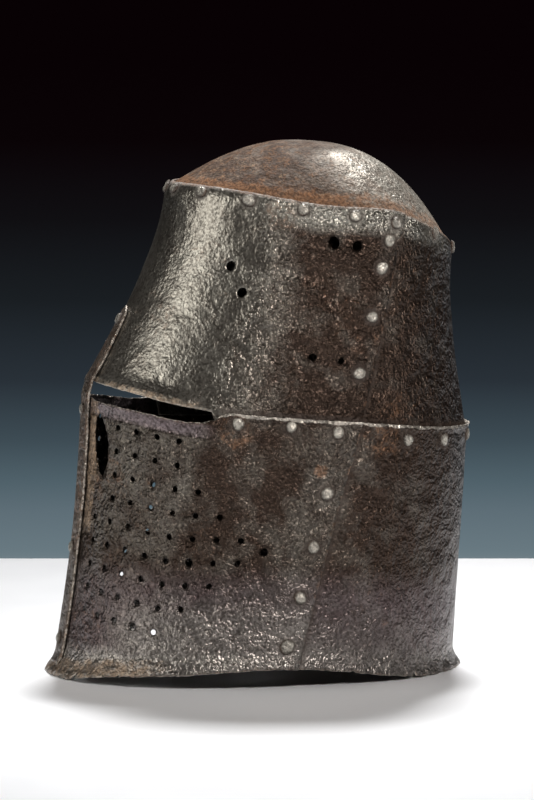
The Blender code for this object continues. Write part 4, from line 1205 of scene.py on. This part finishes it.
def iron(name):
    """Pitted iron: dark, grey and brown tones in patches, with rust, violet, ochre and bright wear by chart; the grey
    holds a painted highlight band under the crown seam, the bright wear a painted highlight along the waist lip, and
    the darkening painted shade beside laps and round rivets.
    """
    made = bpy.data.materials.get("aged_" + name)
    if made is not None:
        return made
    look, tones = IRONS[name], finish()
    made = bpy.data.materials.new("aged_" + name)
    made.use_nodes = True
    tree = made.node_tree
    shader = tree.nodes["Principled BSDF"]
    shader.inputs["Specular IOR Level"].default_value = look.specular
    place = tree.nodes.new("ShaderNodeTexCoord").outputs["Object"]
    charts = {key: node(tree, "ShaderNodeAttribute", attribute_name=key).outputs["Fac"]
              for key in ("edge", "grey", "dirt_and_shade", "rust", "violet", "ochre", "relief")}
    pitting = use_group(tree, "pitting", build_pitting, {"Vector": place, "Pit Size": tones.pit_size})
    drift = use_group(tree, "drift", build_drift, {"Vector": place, "Amount": charts["grey"], "Size": 0.020})
    masks = {"grey": drift.outputs["Mask"]}
    for key, amount, size in (("brown", look.brown - 0.15, 0.014), ("rust", charts["rust"], 0.006),
                              ("ochre", charts["ochre"], 0.005)):
        patches = use_group(tree, "patches", build_patches, {"Vector": place, "Amount": amount, "Size": size})
        masks[key] = patches.outputs["Mask"]
    wear = use_group(tree, "edge wear", build_edge_wear,
                     {"Vector": place, "Edge": charts["edge"], "Width": look.wear})
    # The grey mask also carries the painted highlight band under the crown seam
    base = blend_colour(tree, masks["grey"], tones.dark_iron[:], tones.grey_iron[:])
    base = toned(tree, base, masks["brown"], 0.5, tones.brown_iron)
    base = toned(tree, base, charts["violet"], 0.6, tones.violet)
    base = toned(tree, base, masks["rust"], 0.7, tones.rust)
    base = toned(tree, base, masks["ochre"], 0.8, tones.ochre)
    grain = maths(tree, "MULTIPLY_ADD", pitting.outputs["Grain"], tones.grain)
    tree.nodes[-1].inputs[2].default_value = 1.0 - 0.45 * tones.grain
    shade = node(tree, "ShaderNodeCombineColor", {"Red": grain, "Green": grain, "Blue": grain}).outputs["Color"]
    base = blend_colour(tree, 1.0, base, shade, "MULTIPLY")
    base = toned(tree, base, pitting.outputs["Pits"], 0.45, tones.dark_iron)
    # Painted shade beside lapping edges and round rivet heads, with real dirt, darkens the base colour
    base = toned(tree, base, charts["dirt_and_shade"], 0.6, tones.dark_iron)
    # Bright wear, which along the waist lip is also a painted highlight
    base = toned(tree, base, wear.outputs["Mask"], 0.85, tones.worn)
    tree.links.new(base, shader.inputs["Base Color"])
    rusty = maths(tree, "MAXIMUM", masks["rust"], masks["ochre"])
    rough = maths(tree, "MULTIPLY_ADD", rusty, 0.18)
    tree.nodes[-1].inputs[2].default_value = look.rough
    rough = maths(tree, "SUBTRACT", rough, maths(tree, "MULTIPLY", masks["grey"], 0.4 * look.bare))
    rough = maths(tree, "ADD", rough, maths(tree, "MULTIPLY", charts["dirt_and_shade"], 0.4))
    tree.links.new(rough, shader.inputs["Roughness"])
    metal = maths(tree, "MULTIPLY_ADD", rusty, -0.35)
    tree.nodes[-1].inputs[2].default_value = look.metal
    metal = maths(tree, "ADD", metal, maths(tree, "MULTIPLY", masks["grey"], look.bare))
    metal = maths(tree, "SUBTRACT", metal, maths(tree, "MULTIPLY", charts["dirt_and_shade"], 0.5), True)
    tree.links.new(metal, shader.inputs["Metallic"])
    height = maths(tree, "MULTIPLY", pitting.outputs["Height"], charts["relief"])
    bump = node(tree, "ShaderNodeBump", {"Height": height, "Distance": look.pitting * tones.pit_depth,
                                         "Strength": 1.0})
    tree.links.new(bump.outputs["Normal"], shader.inputs["Normal"])
    return made


def plain_material(name, colour, roughness):
    """Plain surface for the stage, with a faint mottle in its roughness."""
    made = bpy.data.materials.new(name)
    made.use_nodes = True
    tree = made.node_tree
    shader = tree.nodes["Principled BSDF"]
    shader.inputs["Base Color"].default_value = colour
    place = tree.nodes.new("ShaderNodeTexCoord").outputs["Object"]
    mottle = remap(tree, noise(tree, place, 8.0), 0.3, 0.7, roughness - 0.03, roughness + 0.03)
    tree.links.new(mottle, shader.inputs["Roughness"])
    return made


def camera_frame():
    """Directions of the photograph's view on the ground: to its right, and away from the camera."""
    azimuth = bpy.context.scene.helm_stage.azimuth
    right = Vector((math.cos(azimuth), math.sin(azimuth), 0.0))
    away = Vector((-math.sin(azimuth), math.cos(azimuth), 0.0))
    return right, away


def build_table():
    """Pale table top with its rear edge close behind the helm."""
    right, away = camera_frame()
    behind = bpy.context.scene.helm_stage.table_behind
    side, front, drop = 3.0, 3.0, 0.03
    ends = np.array(((-side, -front), (side, -front), (side, behind), (-side, behind)))
    ground = ends[:, :1] * np.array(right)[None] + ends[:, 1:] * np.array(away)[None]
    points = np.concatenate((ground, ground - np.array((0.0, 0.0, drop))))
    faces = [(0, 1, 2, 3), (7, 6, 5, 4)] + [(i, i + 4, (i + 1) % 4 + 4, (i + 1) % 4) for i in range(4)]
    mesh = bpy.data.meshes.new("table")
    mesh.from_pydata(points.tolist(), [], faces)
    mesh.materials.append(plain_material("table_white", (0.88, 0.885, 0.90, 1.0), 0.35))
    table = bpy.data.objects.new("table", mesh)
    bpy.context.scene.collection.objects.link(table)


def build_world():
    """Dark studio: black above, blue-grey towards the table's edge and pale below it.

    The ramp's place is the view direction's height, from a sixth below the horizon up to the horizon.
    """
    bpy.context.scene.view_settings.view_transform = "Standard"
    world = bpy.data.worlds.new("studio")
    bpy.context.scene.world = world
    world.use_nodes = True
    tree = world.node_tree
    direction = tree.nodes.new("ShaderNodeTexCoord").outputs["Generated"]
    height = node(tree, "ShaderNodeSeparateXYZ", {0: direction}).outputs["Z"]
    share = node(tree, "ShaderNodeMapRange", {"Value": height, "From Min": -0.16, "From Max": 0.0}).outputs["Result"]
    ramp = tree.nodes.new("ShaderNodeValToRGB")
    stops = (
        (0.000, (0.5000, 0.5100, 0.5300)),
        (0.165, (0.1400, 0.1920, 0.2200)),
        (0.215, (0.1120, 0.1560, 0.1840)),
        (0.252, (0.0800, 0.1200, 0.1440)),
        (0.302, (0.0480, 0.0720, 0.0890)),
        (0.377, (0.0220, 0.0300, 0.0390)),
        (0.477, (0.0103, 0.0130, 0.0160)),
        (0.577, (0.0052, 0.0048, 0.0060)),
        (0.676, (0.0029, 0.0011, 0.0017)),
        (0.776, (0.0024, 0.0006, 0.0012)),
    )
    while len(ramp.color_ramp.elements) < len(stops):
        ramp.color_ramp.elements.new(0.5)
    for element, (position, colour) in zip(ramp.color_ramp.elements, stops):
        element.position = position
        element.color = colour + (1.0,)
    tree.links.new(share, ramp.inputs["Fac"])
    tree.links.new(ramp.outputs["Color"], tree.nodes["Background"].inputs["Color"])


# Lights: place and aim by the photograph's view, in metres, with their size and spread in degrees
Softbox = namedtuple("Softbox", "name right away up aim_away aim_up width height spread share colour")
SOFTBOXES = (
    Softbox("back_softbox", 0.14, 0.75, 1.70, -0.35, 0.0, 0.30, 0.30, 100.0, "back", (1.0, 1.0, 1.0)),
    Softbox("left_softbox", -1.28, -0.45, 0.62, 0.0, 0.27, 0.75, 0.90, 60.0, "left", (1.0, 0.99, 0.95)),
    Softbox("front_softbox", 0.80, -1.55, 1.20, 0.0, 0.24, 0.25, 0.25, 34.0, "front", (1.0, 0.96, 0.93)),
    Softbox("right_softbox", 1.30, 0.30, 0.60, 0.0, 0.20, 0.60, 1.00, 180.0, "right", (1.0, 0.97, 0.94)),
)


def build_lights():
    """Soft lights round the helm, placed and aimed by the photograph's view."""
    right, away = camera_frame()
    stage = bpy.context.scene.helm_stage
    powers = {"back": stage.back_power, "left": stage.left_power, "front": stage.front_power,
              "right": stage.right_power}
    for box in SOFTBOXES:
        data = bpy.data.lights.new(box.name, "AREA")
        data.shape = "RECTANGLE"
        data.size, data.size_y = box.width, box.height
        data.spread = math.radians(box.spread)
        data.energy = powers[box.share]
        data.color = box.colour
        light = bpy.data.objects.new(box.name, data)
        light.location = right * box.right + away * box.away + Vector((0.0, 0.0, box.up))
        aim = away * box.aim_away + Vector((0.0, 0.0, box.aim_up))
        light.rotation_mode = "QUATERNION"
        light.rotation_quaternion = (aim - light.location).to_track_quat("-Z", "Y")
        light.visible_camera = False
        bpy.context.scene.collection.objects.link(light)


def build_camera():
    """Camera at the photograph's angle."""
    stage = bpy.context.scene.helm_stage
    right, away = camera_frame()
    aim = Vector((0.0, CENTRE_SHIFT, stage.aim_height))
    back = -away * math.cos(stage.pitch) + Vector((0.0, 0.0, math.sin(stage.pitch)))
    data = bpy.data.cameras.new("camera")
    data.lens = stage.lens
    data.sensor_width = 36.0
    camera = bpy.data.objects.new("camera", data)
    camera.location = aim + back * stage.distance
    camera.rotation_mode = "QUATERNION"
    camera.rotation_quaternion = (-back).to_track_quat("-Z", "Y")
    bpy.context.scene.collection.objects.link(camera)
    bpy.context.scene.camera = camera


class HELM_OT_face_plate(bpy.types.Operator):
    """Build the lower front plate"""

    bl_idname = "helm.face_plate"
    bl_label = "Face plate"

    def execute(self, context):
        build_face_plate()
        return {"FINISHED"}


class HELM_OT_lower_back_plate(bpy.types.Operator):
    """Build the lower rear plate"""

    bl_idname = "helm.lower_back_plate"
    bl_label = "Lower back plate"

    def execute(self, context):
        build_lower_back_plate()
        return {"FINISHED"}


class HELM_OT_brow_plate(bpy.types.Operator):
    """Build the upper front plate"""

    bl_idname = "helm.brow_plate"
    bl_label = "Brow plate"

    def execute(self, context):
        build_brow_plate()
        return {"FINISHED"}


class HELM_OT_upper_back_plate(bpy.types.Operator):
    """Build the upper rear plate"""

    bl_idname = "helm.upper_back_plate"
    bl_label = "Upper back plate"

    def execute(self, context):
        build_upper_back_plate()
        return {"FINISHED"}


class HELM_OT_crown_cap(bpy.types.Operator):
    """Build the domed top plate"""

    bl_idname = "helm.crown_cap"
    bl_label = "Crown cap"

    def execute(self, context):
        build_crown_cap()
        return {"FINISHED"}


class HELM_OT_front_bar(bpy.types.Operator):
    """Build the upright bar over the front ridge"""

    bl_idname = "helm.front_bar"
    bl_label = "Front bar"

    def execute(self, context):
        build_front_bar()
        return {"FINISHED"}


class HELM_OT_rivets(bpy.types.Operator):
    """Build every row of rivets"""

    bl_idname = "helm.rivets"
    bl_label = "Rivets"

    def execute(self, context):
        rivet_piece("crown_rivet", CROWN_RIVETS, 31)
        rivet_piece("upper_seam_rivet", UPPER_SEAM_RIVETS, 32)
        rivet_piece("waist_rivet", WAIST_RIVETS, 33)
        rivet_piece("lower_seam_rivet", LOWER_SEAM_RIVETS, 34)
        rivet_piece("bar_rivet", BAR_RIVETS, 35, ("",))
        return {"FINISHED"}


class HELM_OT_stage(bpy.types.Operator):
    """Set up the table, the studio light and the camera"""

    bl_idname = "helm.stage"
    bl_label = "Stage"

    def execute(self, context):
        build_table()
        build_world()
        build_lights()
        build_camera()
        return {"FINISHED"}


PIECE_OPERATORS = (
    HELM_OT_face_plate,
    HELM_OT_lower_back_plate,
    HELM_OT_brow_plate,
    HELM_OT_upper_back_plate,
    HELM_OT_crown_cap,
    HELM_OT_front_bar,
    HELM_OT_rivets,
    HELM_OT_stage,
)


class HELM_PT_panel(bpy.types.Panel):
    """Sizes, finish and steps of the helm"""

    bl_label = "Great helm"
    bl_space_type = "VIEW_3D"
    bl_region_type = "UI"
    bl_category = "Great helm"

    def draw(self, context):
        for group in (context.scene.helm_sizes, context.scene.helm_finish, context.scene.helm_stage):
            box = self.layout.box()
            for key in group.bl_rna.properties.keys():
                if key not in ("rna_type", "name"):
                    box.prop(group, key)
        for operator in PIECE_OPERATORS:
            self.layout.operator(operator.bl_idname)


CLASSES = (HelmSizes, HelmFinish, StageSettings) + PIECE_OPERATORS + (HELM_PT_panel,)


def register():
    for item in CLASSES:
        bpy.utils.register_class(item)
    bpy.types.Scene.helm_sizes = PointerProperty(type=HelmSizes)
    bpy.types.Scene.helm_finish = PointerProperty(type=HelmFinish)
    bpy.types.Scene.helm_stage = PointerProperty(type=StageSettings)


def unregister():
    del bpy.types.Scene.helm_stage
    del bpy.types.Scene.helm_finish
    del bpy.types.Scene.helm_sizes
    for item in reversed(CLASSES):
        bpy.utils.unregister_class(item)


def main():
    register()
    for operator in PIECE_OPERATORS:
        step = operator.bl_idname.split(".")[1]
        getattr(bpy.ops.helm, step)()


if __name__ == "__main__":
    main()
